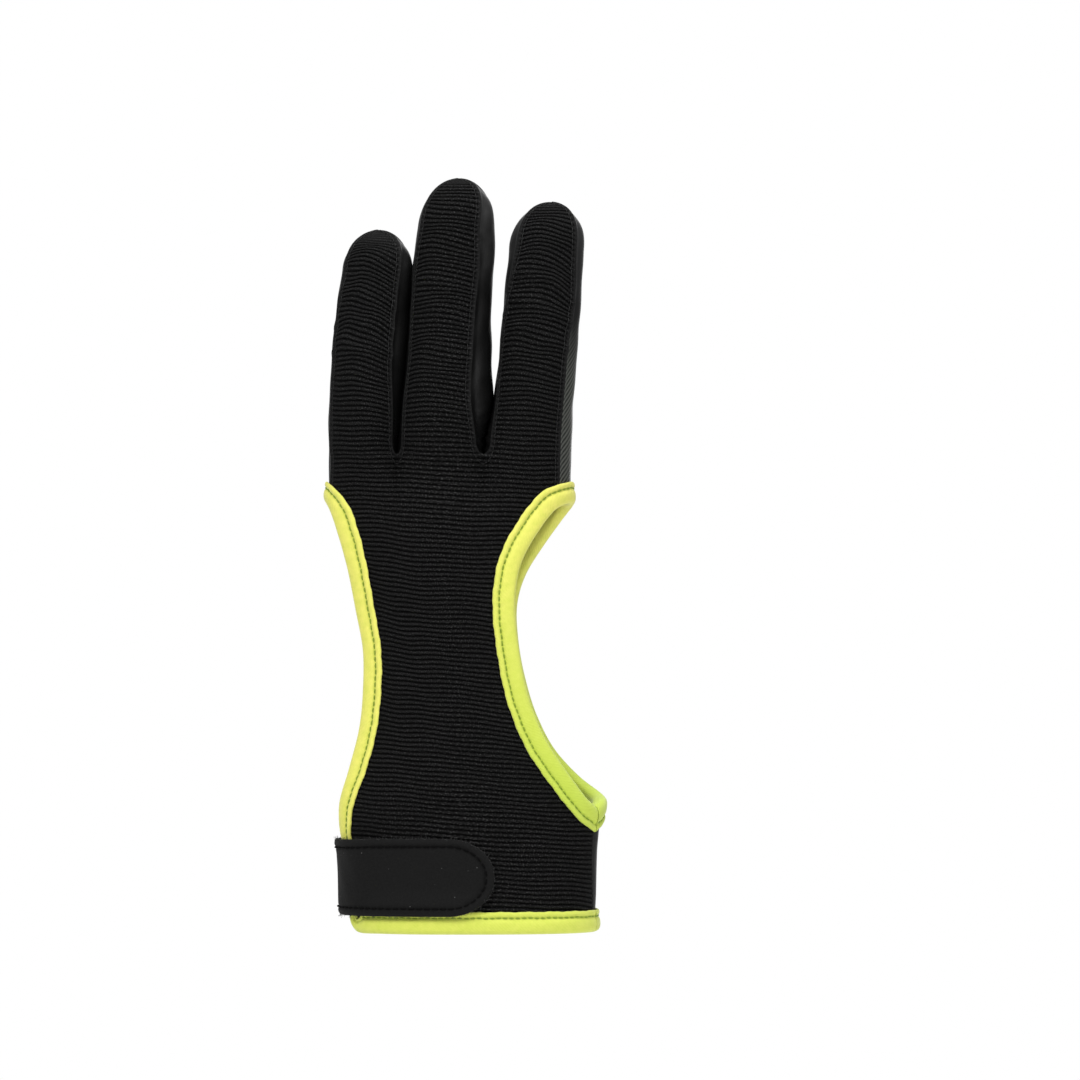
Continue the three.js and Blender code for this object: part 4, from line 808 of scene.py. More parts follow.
# Painted highlight: grey cloudy patches over the top 28 mm of height, towards the fingertips
tip_ramp = node(tree, "ShaderNodeMapRange", {0: height.outputs["Fac"], 1: 176.0, 2: 204.0, 3: 0.0, 4: 1.0})
tip_highlight = node(tree, "ShaderNodeMath", {0: tip_ramp.outputs[0], 1: clouds.outputs["Fac"]}, operation="MULTIPLY")
tone = node(tree, "ShaderNodeMix", {"Factor": tip_highlight.outputs[0], "A": colour("#101010"), "B": colour("#464646")},
            data_type="RGBA")
backing = node(tree, "ShaderNodeAttribute", attribute_name="backing")
twill = node(tree, "ShaderNodeTexWave", {"Vector": weave.outputs["Vector"], "Scale": 1 / (0.8 * math.pi)},
             wave_type="BANDS", bands_direction="DIAGONAL")
cords = node(tree, "ShaderNodeMix", {"Factor": twill.outputs["Fac"], "A": colour("#1A1C1A"), "B": colour("#5C5E59")},
             data_type="RGBA")
cloth = node(tree, "ShaderNodeMix", {"Factor": backing.outputs["Fac"], "A": tone.outputs["Result"],
                                     "B": cords.outputs["Result"]}, data_type="RGBA")
tree.links.new(cloth.outputs["Result"], shader.inputs["Base Color"])
gloss = node(tree, "ShaderNodeMapRange", {0: clouds.outputs["Fac"], 1: 0.3, 2: 0.7, 3: 0.33, 4: 0.48})
stretched = node(tree, "ShaderNodeMapRange", {0: height.outputs["Fac"], 1: 138.0, 2: 158.0, 3: 0.12, 4: 0.0})
polish = node(tree, "ShaderNodeMath", {0: gloss.outputs[0], 1: stretched.outputs[0]}, operation="SUBTRACT")
tree.links.new(polish.outputs[0], shader.inputs["Roughness"])
raised = node(tree, "ShaderNodeMix", {"Factor": backing.outputs["Fac"], "A": grain.outputs["Distance"],
                                      "B": twill.outputs["Fac"]}, data_type="FLOAT")
bump = node(tree, "ShaderNodeBump", {"Height": raised.outputs["Result"], "Strength": 0.25, "Distance": 0.0001})
tree.links.new(bump.outputs[0], shader.inputs["Normal"])


def web_wall(name, lower, upper, puffs, folds_of, node_name):
    steps = 12
    down, up = down_the_side(lower, 1), down_the_side(upper, -1)[::-1]
    low, high = round_the_web(lower, 1, steps)[::-1], round_the_web(upper, -1, steps)[1:]
    rows = np.concatenate([puffed(np.concatenate([down, low]), 1, puffs["height"], puffs["right"]),
                           puffed(np.concatenate([high, up]), -1, puffs["height"], puffs["left"])])
    return laid_wall(name, rows, (0, -1), True, folds_of, node_name)


def drawn_over_root(line, share):
    """Draws one line of a side wall straight past the finger's root, where the wall stretches over a hollow."""
    low, high = HAND_LENGTH - 8, HAND_LENGTH + 12
    height, span = line[:, 2].copy(), high - low
    before, start, end, after = (np.array([np.interp(at, height[::-1], line[::-1, axis]) for axis in (0, 1)])
                                 for at in (low - 1, low, high, high + 1))
    t = ((height - low) / span)[:, None]
    curve = (start * (1 + 2 * t) * (1 - t) ** 2 + end * t * t * (3 - 2 * t)
             + (start - before) * span * t * (1 - t) ** 2 + (after - end) * span * t * t * (t - 1))
    inside = (height > low) & (height < high)
    line[inside, :2] = mix(line[inside, :2], curve[inside], share)


def outer_wall(name, finger, outward, cloth_edge, folds_of, node_name):
    low = WEB_RISE * (1 - np.cos(np.linspace(np.pi / 2, 0, 9)[1:])) / finger["length"]
    rows = np.concatenate([down_the_side(finger, outward), side_rows(finger, outward, low)])
    middle = len(WALL_SHARES) // 2
    near = 0 if outward > 0 else np.pi
    turns = np.array([float(unwrapped(turn_at_web(np.array(x), column < middle), near))
                      for column, x in enumerate(rows[-1, :, 0])])
    ends = np.array([opening_corner(cloth_edge, turn) for turn in turns])
    shares = np.linspace(0, 1, 14)[1:, None]
    rows = np.concatenate([rows, hand_point(turns[None, :], mix(HAND_LENGTH, ends[None, :], shares))])
    for column in range(1, len(WALL_SHARES) - 1):
        drawn_over_root(rows[:, column], min(1, 8 * WALL_SHARES[column] * (1 - WALL_SHARES[column])))
    return laid_wall(name, rows, (0,), outward > 0, folds_of, node_name)


outer_wall("ring_outer_side", RING, -1, SIDE_CLOTH, calm, "ring_outer_wall")
RING_PUFFS = table("height right left", (132, 0, 0), (132.7, 0.9, 0.6), (139, 1.3, 0.6), (150, 1.4, 0.6),
                   (160, 1.9, 0.7), (170, 1.5, 0.5), (184, 0.7, 0.4), (192, 0, 0.3), (203, 0, 0))
MIDDLE_PUFFS = table("height right left", (132, 0, 0), (132.7, 0.9, 0.6), (139, 0.9, 0.5), (148, 0.9, 0.35),
                     (158, 0.2, 0.1), (195, 0.1, 0), (205, 0, 0))
web_wall("ring_middle_side", RING, MIDDLE, RING_PUFFS, calm, "ring_middle_wall")
web_wall("middle_index_side", MIDDLE, INDEX, MIDDLE_PUFFS, creased, "middle_index_wall")
outer_wall("index_outer_side", INDEX, 1, THUMB_CLOTH, calm, "index_outer_wall")


# Finger seams
# Black polyester thread in a fine lockstitch, one row on the back and one on the palm beside each seam, down
# each finger and round the webs.

def beside_seam(lanes, number, side, first, distance):
    """Points and directions out of the cloth beside a lane's seam, at every few rows above the first."""
    lane = lanes[number]
    gone = lane["from_right"] if side == "right" else lane["from_left"]
    order = slice(None) if side == "right" else slice(None, None, -1)
    rows = np.arange(first, len(gone) - 3)
    rows = rows[gone[rows].max(axis=1) > 2.4 * distance]
    found = []
    for row in rows:
        reach, points, out = gone[row][order], lane["points"][row][order], lane["normals"][row][order]
        lift = lane["lift"][row][order]
        at = np.array([np.interp(distance, reach, points[:, axis]) for axis in range(3)])
        away = unit(np.array([np.interp(distance, reach, out[:, axis]) for axis in range(3)]))
        height = np.interp(distance, reach, lift) + RIB_HEIGHT * np.interp(distance, reach, lane["relief"][row][order])
        found.append((at + away * height, away))
    return found


def sewn(name, paths, stitch, gap, thick, finish):
    """Rows of stitches along paths of points and outward directions, as one piece."""
    mesh = bpy.data.meshes.new(name)
    points = np.array([point for path in paths for point, _ in path])
    away = np.array([out for path in paths for _, out in path])
    edges, start = [], 0
    for path in paths:
        edges += [(start + at, start + at + 1) for at in range(len(path) - 1)]
        start += len(path)
    mesh.from_pydata((points / 1000).tolist(), edges, [])
    give_field(mesh, "out", away)
    piece = in_scene(name, mesh)
    grown(piece, stitches, {"Stitch Length": stitch / 1000, "Stitch Gap": gap / 1000, "Thread Width": thick / 1000,
                            "Thread": finish})
    piece.data.shade_smooth()
    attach(piece, "root")
    return piece


stitches, ins, outs = geometry_tree("stitches", {
    "Stitch Length": float, "Stitch Gap": float, "Thread Width": float, "Thread": bpy.types.Material})
curve = node(stitches, "GeometryNodeMeshToCurve", {"Mesh": ins.outputs["Geometry"]})
pitch = node(stitches, "ShaderNodeMath", {0: ins.outputs["Stitch Length"], 1: ins.outputs["Stitch Gap"]},
             operation="ADD")
spots = node(stitches, "GeometryNodeResampleCurve", {"Curve": curve.outputs[0], "Length": pitch.outputs[0]},
             mode="LENGTH")
tangent = node(stitches, "GeometryNodeInputTangent")
away = node(stitches, "GeometryNodeInputNamedAttribute", {"Name": "out"}, data_type="FLOAT_VECTOR")
lined = node(stitches, "FunctionNodeAlignRotationToVector", {"Vector": tangent.outputs[0]}, axis="X")
stood = node(stitches, "FunctionNodeAlignRotationToVector", {
    "Rotation": lined.outputs[0], "Vector": away.outputs["Attribute"]}, axis="Z", pivot_axis="X")
half = node(stitches, "ShaderNodeMath", {0: ins.outputs["Stitch Length"], 1: 0.5}, operation="MULTIPLY")
back_half = node(stitches, "ShaderNodeMath", {0: half.outputs[0], 1: -1.0}, operation="MULTIPLY")
sunk = node(stitches, "ShaderNodeMath", {0: ins.outputs["Thread Width"], 1: -0.5}, operation="MULTIPLY")
ends = [node(stitches, "ShaderNodeCombineXYZ", {"X": reach.outputs[0], "Z": level})
        for reach, level in ((back_half, sunk.outputs[0]), (half, sunk.outputs[0]),
                             (back_half, ins.outputs["Thread Width"]), (half, ins.outputs["Thread Width"]))]
arc = node(stitches, "GeometryNodeCurvePrimitiveBezierSegment", {
    "Resolution": 6, "Start": ends[0].outputs[0], "End": ends[1].outputs[0], "Start Handle": ends[2].outputs[0],
    "End Handle": ends[3].outputs[0]})
radius = node(stitches, "ShaderNodeMath", {0: ins.outputs["Thread Width"], 1: 0.5}, operation="MULTIPLY")
ring = node(stitches, "GeometryNodeCurvePrimitiveCircle", {"Resolution": 6, "Radius": radius.outputs[0]})
strand = node(stitches, "GeometryNodeCurveToMesh", {
    "Curve": arc.outputs[0], "Profile Curve": ring.outputs[0], "Fill Caps": True})
placed = node(stitches, "GeometryNodeInstanceOnPoints", {
    "Points": spots.outputs[0], "Instance": strand.outputs[0], "Rotation": stood.outputs[0]})
whole = node(stitches, "GeometryNodeRealizeInstances", {"Geometry": placed.outputs[0]})
done = node(stitches, "GeometryNodeSetMaterial", {"Geometry": whole.outputs[0], "Material": ins.outputs["Thread"]})
stitches.links.new(done.outputs[0], outs.inputs["Geometry"])

# Spun polyester thread, black and slightly shiny
black_thread, _, _ = finish_for("black_polyester_thread", {
    "Base Color": colour("#161616"), "Roughness": 0.5, "Specular IOR Level": 0.3})
SEAM_INSET, SEAM_STITCH, SEAM_STITCH_GAP, SEAM_THREAD = 1.5, 1.35, 0.35, 0.24


def round_web(start, end, middle, on_back):
    """Points of the row of stitches round the lowest part of a web, between its ends beside two fingers."""
    found = []
    for angle in np.linspace(0, np.pi, 13)[1:-1]:
        side, swing = (start, np.cos(angle)) if angle < np.pi / 2 else (end, -np.cos(angle))
        x = mix(middle, side[0][0], swing)
        height = side[0][2] - np.sin(angle) * (side[0][2] - HAND_LENGTH + CLOTH_EDGE / 2 + SEAM_INSET)
        turn, end_turn = (unwrapped(turn_at_web(np.array(place), on_back), np.pi / 2 if on_back else 1.5 * np.pi)
                          for place in (x, side[0][0]))
        low = min(height, HAND_LENGTH)
        away = hand_normal(turn, low)
        point = hand_point(turn, low) + away * (0.15 + 0.6 * RIB_HEIGHT * on_back)
        point[1] += (side[0][1] - hand_point(end_turn, HAND_LENGTH)[1]) * swing ** 2
        point[2] = height
        found.append((point, unit(away)))
    return found


def seam_paths(lanes, webs, on_back):
    """Down each finger and round each web, and down the two outer seams."""
    every = ROWS_A_RIB if on_back else 1
    paths = []
    for web in (0, 1):
        right_side = beside_seam(lanes, web, "left", webs[web] + 2 * every, SEAM_INSET)
        left_side = beside_seam(lanes, web + 1, "right", webs[web] + 2 * every, SEAM_INSET)
        if on_back:
            right_side, left_side = right_side[::3], left_side[::3]
        turned = round_web(right_side[0], left_side[0], lane_of(FINGERS[web])[0], on_back)
        paths.append(right_side[::-1] + turned + left_side)
    paths.append(beside_seam(lanes, 0, "right", webs[0] - 6 * every, SEAM_INSET))
    paths.append(beside_seam(lanes, 2, "left", webs[1] - 6 * every, SEAM_INSET))
    return paths


sewn("back_seam_stitches", seam_paths(back_lanes, back_webs, True), SEAM_STITCH, SEAM_STITCH_GAP, SEAM_THREAD,
     black_thread)
sewn("palm_seam_stitches", seam_paths(palm_lanes, palm_webs, False), SEAM_STITCH, SEAM_STITCH_GAP, SEAM_THREAD,
     black_thread)


# Binding tape
# Soft lime-yellow polyester tape, folded over the raw edges and sewn through with one row of stitches, whose thread is
# given a darker green as painted shade. One length goes round the thumb opening and meets in a V at its lowest corner;
# the other goes along the little-finger side and the hem.

TAPE_WIDTH, TAPE_WALL, TAPE_EASE, TAPE_SEAM_RUN, TAPE_FOLD, TAPE_STATIONS = 6.1, 0.8, 0.4, 1.18, 3.2, 0.65
# Its row of stitches: distance from the fold, height out of the skin on both sides, and sizes. It runs only where
# the tape reaches far enough over the cloth
TAPE_STITCH, TAPE_STITCH_OUT, TAPE_STITCH_IN, TAPE_SEWN_REACH = 4.45, 0.8, -2.44, 5.6
TAPE_STITCH_LENGTH, TAPE_STITCH_GAP, TAPE_THREAD = 1.25, 0.5, 0.3
TAPE_PUCKER, TAPE_GROOVE_WIDTH, TAPE_GROOVE_REACH = 0.09, 0.3, (5, 5.9)
# The folded tape's section: distance from its fold over the cloth, and out of the skin
TAPE_SECTION = table(
    "across off",
    (6.1, 0.42), (6.16, 0.66), (6.05, 0.95), (5.75, 1.14), (5.35, 1.2), (4.98, 1.08), (4.68, 0.84), (4.45, 0.76),
    (4.22, 0.86), (3.95, 1.1), (3.5, 1.34), (2.9, 1.48), (2.2, 1.52), (1.5, 1.47), (0.95, 1.3), (0.5, 1.02),
    (0.18, 0.6), (0, 0.1), (-0.06, -0.6), (0.02, -1.3), (0.25, -1.9), (0.6, -2.35), (1.1, -2.6), (2, -2.76),
    (3.2, -2.74), (4, -2.6), (4.45, -2.4), (4.9, -2.58), (5.5, -2.66), (6, -2.52), (6.12, -2.2), (6.05, -1.93),
    (4.5, -1.9), (3, -1.9), (1.5, -1.9), (0.92, -1.5), (0.8, -0.6), (0.92, 0.15), (1.5, 0.4), (3, 0.4), (4.5, 0.4))


def swept(name, rings):
    """A closed body through closed rings of points, capped at both ends."""
    count, size = rings.shape[:2]
    number = np.arange(count * size).reshape(count, size)
    after = np.roll(number, -1, axis=1)
    quads = np.stack([number[:-1], after[:-1], after[1:], number[1:]], axis=-1).reshape(-1, 4)
    points = rings.reshape(-1, 3)
    a, b, c, d = (points[quads[:, corner]] for corner in range(4))
    volume = (np.cross(a, b) * c).sum() + (np.cross(a, c) * d).sum()
    if volume < 0:
        quads = quads[:, ::-1]
    caps = [number[0].tolist()[::-1], number[-1].tolist()]
    if volume < 0:
        caps = [cap[::-1] for cap in caps]
    mesh = bpy.data.meshes.new(name)
    mesh.from_pydata((points / 1000).tolist(), [], quads.tolist() + caps)
    mesh.shade_smooth()
    return in_scene(name, mesh)


def folded_tape(name, line, side, reach_of, seam_ends, node_name):
    """Tape folded over an edge of the cloth. Reach limits how far it goes over the cloth at a station. Gives back
    the rows that its stitches follow."""
    turn, height = line
    points, along, over = edge_frames(turn, height, side)
    gone = np.concatenate([[0], np.cumsum(np.linalg.norm(np.diff(points, axis=0), axis=1))])
    if seam_ends:
        from_end = np.minimum(gone, gone[-1] - gone)
        pull = np.interp(from_end, [0, 5], [1, 0])[:, None]
        lower = height - TAPE_WIDTH
        shift = turn - unwrapped(seam_turn(height), turn)
        down = unit(hand_point(seam_turn(lower) + shift, lower) - points)
        over = unit(mix(over, down, pull)) * mix(1, TAPE_SEAM_RUN, pull)
    reach = np.minimum(TAPE_WIDTH, reach_of(turn, height)) + 0.07 * np.sin(gone * 0.9) + 0.05 * np.sin(gone * 2.3 + 1)
    pucker = np.cos(gone * 2 * np.pi / (TAPE_STITCH_LENGTH + TAPE_STITCH_GAP))

    def at(across, off, swell):
        """Points of one line of the tape, out of the skin it lies on."""
        share = (across - TAPE_WALL) / (TAPE_WIDTH - TAPE_WALL)
        far = np.where(across > TAPE_WALL, mix(TAPE_WALL, reach, share), across)
        base = points + over * far[:, None]
        turns = turn_of_point(base)
        return hand_point(turns, base[:, 2]) + hand_normal(turns, base[:, 2]) * (off + swell)[:, None]

    lines = []
    for across, off in zip(TAPE_SECTION["across"], TAPE_SECTION["off"]):
        puffy = smooth_step(1.8, 0.2, abs(across - TAPE_STITCH)) if abs(off) > 0.5 and across > 1 else 0
        slow = 0.05 * np.sin(gone * 0.31 + across) if abs(off) > 1 else 0
        outside = 1 if off > 0 else -1
        lines.append(at(across, np.full(len(gone), off), outside * (TAPE_PUCKER * puffy * pucker + slow)))
    rings = np.stack(lines, axis=1)
    piece = swept(name, rings)
    count = rings.shape[1]
    section = np.stack([TAPE_SECTION["across"], TAPE_SECTION["off"]])
    round_section = np.concatenate([[0], np.cumsum(np.hypot(*np.diff(section, axis=1)))])
    give_field(piece.data, "weave", np.stack([
        np.tile(round_section, len(gone)), np.repeat(gone, count), np.zeros(len(gone) * count)], axis=1))
    tape_groove_shade = np.exp(-((section[0] - TAPE_STITCH) / TAPE_GROOVE_WIDTH) ** 2) * (np.abs(section[1]) > 0.5)
    wide = smooth_step(*TAPE_GROOVE_REACH, reach)
    give_field(piece.data, "groove", np.repeat(wide, count) * np.tile(tape_groove_shade, len(gone)))
    piece.data.materials.append(binding_tape)
    kept(piece, [node_name])
    rows, clear = [], np.flatnonzero(reach > TAPE_SEWN_REACH)[2:-2]
    for off, outside in ((TAPE_STITCH_OUT, 1), (TAPE_STITCH_IN, -1)):
        path = at(TAPE_STITCH, np.full(len(gone), off), np.zeros(len(gone)))
        sewn_points = list(zip(path, hand_normal(turn_of_point(path), path[:, 2]) * outside))
        for run in np.split(clear, np.flatnonzero(np.diff(clear) > 1) + 1):
            rows.append([sewn_points[station] for station in run])
    return [row for row in rows if len(row) > 3]


# Knitted polyester binding, dyed lime yellow: matt and a little fuzzy, with painted shade making it greener and darker
# around 38 mm up on the thumb side and in the groove where the stitches draw it in
binding_tape, tree, shader = finish_for("lime_binding_tape", {"Roughness": 0.75, "Sheen Weight": 0.3})
weave = node(tree, "ShaderNodeAttribute", attribute_name="weave")
groove = node(tree, "ShaderNodeAttribute", attribute_name="groove")
place = node(tree, "ShaderNodeTexCoord")
level = node(tree, "ShaderNodeSeparateXYZ", {"Vector": place.outputs["Object"]})
# Painted shade: greener and darker within 80 mm of 38 mm up, except on the little-finger side above the hem
from_heel = node(tree, "ShaderNodeMath", {0: node(tree, "ShaderNodeMath", {
    0: level.outputs["Z"], 1: 0.038}, operation="SUBTRACT").outputs[0]}, operation="ABSOLUTE")
away_from_shade = node(tree, "ShaderNodeMapRange", {0: from_heel.outputs[0], 1: 0.0, 2: 0.08, 3: 0.0, 4: 1.0})
far_side = node(tree, "ShaderNodeMapRange", {0: level.outputs["X"], 1: 0.018, 2: 0.0, 3: 0.0, 4: 1.0})
over_hem = node(tree, "ShaderNodeMapRange", {0: level.outputs["Z"], 1: 0.006, 2: 0.02, 3: 0.0, 4: 1.0})
side_tape = node(tree, "ShaderNodeMath", {0: far_side.outputs[0], 1: over_hem.outputs[0]}, operation="MULTIPLY")
unshaded = node(tree, "ShaderNodeMath", {0: away_from_shade.outputs[0], 1: side_tape.outputs[0]}, operation="MAXIMUM")
shaded_tape_tone = node(tree, "ShaderNodeMix", {"Factor": unshaded.outputs[0], "A": colour("#C8DE4C"), "B": colour("#F4F070")},
            data_type="RGBA")
clouds = node(tree, "ShaderNodeTexNoise", {"Vector": weave.outputs["Vector"], "Scale": 0.5, "Detail": 4.0})
shade = node(tree, "ShaderNodeMix", {"Factor": node(tree, "ShaderNodeMapRange", {
    0: clouds.outputs["Fac"], 1: 0.35, 2: 0.7, 3: 0.0, 4: 0.3}).outputs[0], "A": shaded_tape_tone.outputs["Result"],
    "B": colour("#C2D636")}, data_type="RGBA")
# Painted shade: the tape is darkened in the groove along its row of stitches
tape_groove_shade = node(tree, "ShaderNodeMath", {0: groove.outputs["Fac"], 1: 0.6}, operation="MULTIPLY")
tone = node(tree, "ShaderNodeMix", {"Factor": tape_groove_shade.outputs[0], "A": shade.outputs["Result"],
                                    "B": colour("#A3B92C")}, data_type="RGBA")
tree.links.new(tone.outputs["Result"], shader.inputs["Base Color"])
knit = node(tree, "ShaderNodeTexWave", {
    "Vector": weave.outputs["Vector"], "Scale": 1 / (0.5 * math.pi), "Distortion": 2.0, "Detail": 2.0},
    wave_type="BANDS", bands_direction="DIAGONAL")
bump = node(tree, "ShaderNodeBump", {"Height": knit.outputs["Fac"], "Strength": 0.35, "Distance": 0.0001})
tree.links.new(bump.outputs[0], shader.inputs["Normal"])

# Green polyester thread, painted darker than the tape with the shade of the stitch holes
shade_green_thread, _, _ = finish_for("green_polyester_thread", {"Base Color": colour("#7F9A22"), "Roughness": 0.55})

# Each tape's two ends stand this far apart
END_APART = 1.5 * 0.3
END_TURN = END_APART / 2 / SKIN_ARM
thumb_turn, thumb_height = smooth_line(
    np.radians(THUMB_EDGE["turn"]), THUMB_EDGE["up"] * HAND_LENGTH, TAPE_STATIONS)
thumb_share = np.linspace(0, 1, len(thumb_turn))
thumb_line = (thumb_turn + np.linspace(1, 0, len(thumb_turn)) ** 40 * END_TURN - thumb_share ** 40 * END_TURN,
              thumb_height)
thumb_rows = folded_tape(
    "thumb_opening_tape", thumb_line, 1, lambda turn, height: TAPE_WIDTH + 0 * turn, True, "thumb_binding")

quarter = np.linspace(0, np.pi / 2, 5)
corner_turn = math.radians(SIDE_EDGE["turn"][0]) - HEM_CORNER_RADIUS * (1 - np.sin(quarter)) / SKIN_ARM
corner_height = HEM_CORNER_RADIUS * (1 - np.cos(quarter))
hem_share = np.linspace(0, 1, 9)[:-1]
seam_at_hem = float(seam_turn(np.array(0.0)))
back_hem = mix(seam_at_hem + END_TURN, corner_turn[0], hem_share)
palm_hem = mix(seam_at_hem - END_TURN + FULL_TURN, FULL_TURN - corner_turn[0], hem_share)
side_line = smooth_line(
    np.concatenate([back_hem, corner_turn, np.radians(SIDE_EDGE["turn"]), (FULL_TURN - corner_turn)[::-1],
                    palm_hem[::-1]]),
    np.concatenate([0 * hem_share, corner_height, SIDE_EDGE["up"] * HAND_LENGTH, corner_height[::-1], 0 * hem_share]),
    TAPE_STATIONS)


def hem_reach(turn, height):
    from_side = np.abs(np.pi - turn) - (np.pi - corner_turn[0])
    clear = np.maximum(np.maximum(from_side * SKIN_ARM, height - HEM_CORNER_RADIUS), 0)
    return 0.94 * (HEM_CORNER_RADIUS + clear)


side_rows_of_stitches = folded_tape(
    "side_and_hem_tape", side_line, -1, hem_reach, False, "side_and_hem_binding")
sewn("tape_stitches", thumb_rows + side_rows_of_stitches, TAPE_STITCH_LENGTH, TAPE_STITCH_GAP, TAPE_THREAD,
     shade_green_thread)


# Wrist strap
# Black brushed-nylon strap with a hooked inner face. It is sewn to the palm, comes round the little-finger
# side over the tape and closes on the back, with a rounded tip and a row of black stitches round its edge.

STRAP_HEIGHT, STRAP_WALL, STRAP_FOOT, STRAP_TIP, STRAP_CLEARANCE, STRAP_SLOPE = 21.4, 1.6, 4.9, 12.5, 0.3, 7.0
STRAP_START, STRAP_END, STRAP_INSET, STRAP_STATIONS = math.radians(79), math.radians(238), 2.2, 160
STRAP_EDGE, GROOVE_DEPTH, GROOVE_WIDTH = 0.75, 0.34, 0.38
STRAP_STITCH, STRAP_STITCH_GAP, STRAP_THREAD = 1.5, 0.7, 0.4
FIBRE_SPACING, FIBRE_LENGTH, FIBRE_WIDTH = 0.28, 0.75, 0.035


def strap_points(length, level, off):
    """Points of the strap at distances from its tip and heights from its middle line."""
    middle = STRAP_FOOT + STRAP_HEIGHT / 2
    turns = np.linspace(STRAP_START, STRAP_END, STRAP_STATIONS)
    steps = np.linalg.norm(np.diff(hand_point(turns, middle), axis=0), axis=1)
    turn = np.interp(length, np.concatenate([[0], np.cumsum(steps)]), turns)
    height = middle + level
    edge = abs(np.pi - math.radians(SIDE_EDGE["turn"][0])) + TAPE_WIDTH / SKIN_ARM
    past_tape = (np.abs(np.pi - turn) - edge) * SKIN_ARM
    by_side = 1 - smooth_step(STRAP_CLEARANCE, STRAP_SLOPE, past_tape)
    by_hem = 1 - smooth_step(TAPE_WIDTH + STRAP_CLEARANCE, TAPE_WIDTH + STRAP_SLOPE, height)
    lift = mix(STRAP_CLEARANCE + 0.12, TAPE_EASE + TAPE_WALL + STRAP_CLEARANCE + 0.2, np.maximum(by_side, by_hem))
    return hand_point(turn, height) + hand_normal(turn, height) * (lift + off)[..., None]


strap_length = float(np.linalg.norm(np.diff(hand_point(
    np.linspace(STRAP_START, STRAP_END, STRAP_STATIONS), STRAP_FOOT + STRAP_HEIGHT / 2), axis=0), axis=1).sum())
tip_angle = np.radians(np.linspace(4, 90, 16))
strap_from = np.concatenate([STRAP_TIP * (1 - np.cos(tip_angle)), np.linspace(STRAP_TIP, strap_length, 90)[1:]])
strap_open = np.concatenate([np.sin(tip_angle), np.ones(89)])
strap_share = np.concatenate([[0, 0.012, 0.03, 0.055, 0.08], np.linspace(0.1, 0.9, 21), [0.92, 0.945, 0.97, 0.988, 1]])
level = (strap_share[None, :] - 0.5) * STRAP_HEIGHT * strap_open[:, None]
length = strap_from[:, None] + 0 * level
bulge = np.sqrt((np.minimum(length - STRAP_TIP, 0) / STRAP_TIP) ** 2 + (level / (STRAP_HEIGHT / 2)) ** 2)
inset = np.minimum((1 - bulge) * STRAP_HEIGHT / 2, strap_length - length)
inset = np.maximum(inset, 0)
groove = np.exp(-((inset - STRAP_INSET) / GROOVE_WIDTH) ** 2)
waves = 0.08 * np.sin(length * 0.35 + level * 0.2) + 0.05 * np.sin(length * 0.9 - level * 0.5)
outer = strap_points(length, level, STRAP_EDGE + (STRAP_WALL - STRAP_EDGE) * np.sqrt(np.clip(inset / 0.9, 0, 1))
                     - GROOVE_DEPTH * groove + waves * smooth_step(0.3, 2.5, inset))
inner = strap_points(length, level, 0.35 * (1 - np.sqrt(np.clip(inset / 0.6, 0, 1))))
rows_of, columns_of = level.shape
number = np.arange(rows_of * columns_of).reshape(rows_of, columns_of)
faces = np.stack([number[:-1, :-1], number[:-1, 1:], number[1:, 1:], number[1:, :-1]], axis=-1).reshape(-1, 4)
edges = open_edges(faces)
rim = np.stack([edges[:, 1], edges[:, 0], edges[:, 0] + number.size, edges[:, 1] + number.size], axis=1)
mesh = bpy.data.meshes.new("brushed_strap")
mesh.from_pydata((np.vstack([outer.reshape(-1, 3), inner.reshape(-1, 3)]) / 1000).tolist(), [],
                 np.vstack([faces, faces[:, ::-1] + number.size, rim]).tolist())
weave = np.stack([length.ravel(), level.ravel(), 0 * level.ravel()], axis=1)
give_field(mesh, "weave", np.vstack([weave, weave + [0, 0, 5]]))
give_field(mesh, "groove", np.concatenate([groove.ravel(), 0 * groove.ravel()]))
mesh.shade_smooth()
strap = in_scene("brushed_strap", mesh)

# Brushed nylon loop cloth: matt black, its short nap lying in soft patches, with a few pale specks of lint
strap_cloth, tree, shader = finish_for("brushed_nylon_loop", {
    "Roughness": 0.9, "Sheen Weight": 0.04, "Sheen Roughness": 0.5, "Specular IOR Level": 0.1})
weave = node(tree, "ShaderNodeAttribute", attribute_name="weave")
nap = node(tree, "ShaderNodeTexNoise", {"Vector": weave.outputs["Vector"], "Scale": 1.6, "Detail": 6.0,
                                        "Roughness": 0.7})
patches = node(tree, "ShaderNodeTexNoise", {"Vector": weave.outputs["Vector"], "Scale": 0.18, "Detail": 2.0})
specks = node(tree, "ShaderNodeTexVoronoi", {"Vector": weave.outputs["Vector"], "Scale": 0.4})
speck = node(tree, "ShaderNodeMapRange", {0: specks.outputs["Distance"], 1: 0.045, 2: 0.03, 3: 0.0, 4: 0.8})
pile = node(tree, "ShaderNodeMix", {"Factor": nap.outputs["Fac"], "A": colour("#080808"), "B": colour("#202020")},
            data_type="RGBA")
groove = node(tree, "ShaderNodeAttribute", attribute_name="groove")
pressed = node(tree, "ShaderNodeMix", {"Factor": groove.outputs["Fac"], "A": pile.outputs["Result"],
                                       "B": colour("#0E0E0E")}, data_type="RGBA")
tone = node(tree, "ShaderNodeMix", {"Factor": speck.outputs[0], "A": pressed.outputs["Result"],
                                    "B": colour("#8C8C8C")}, data_type="RGBA")
tree.links.new(tone.outputs["Result"], shader.inputs["Base Color"])
both = node(tree, "ShaderNodeMath", {0: nap.outputs["Fac"], 1: patches.outputs["Fac"]}, operation="ADD")
bump = node(tree, "ShaderNodeBump", {"Height": both.outputs[0], "Strength": 0.6, "Distance": 0.0002})
tree.links.new(bump.outputs[0], shader.inputs["Normal"])
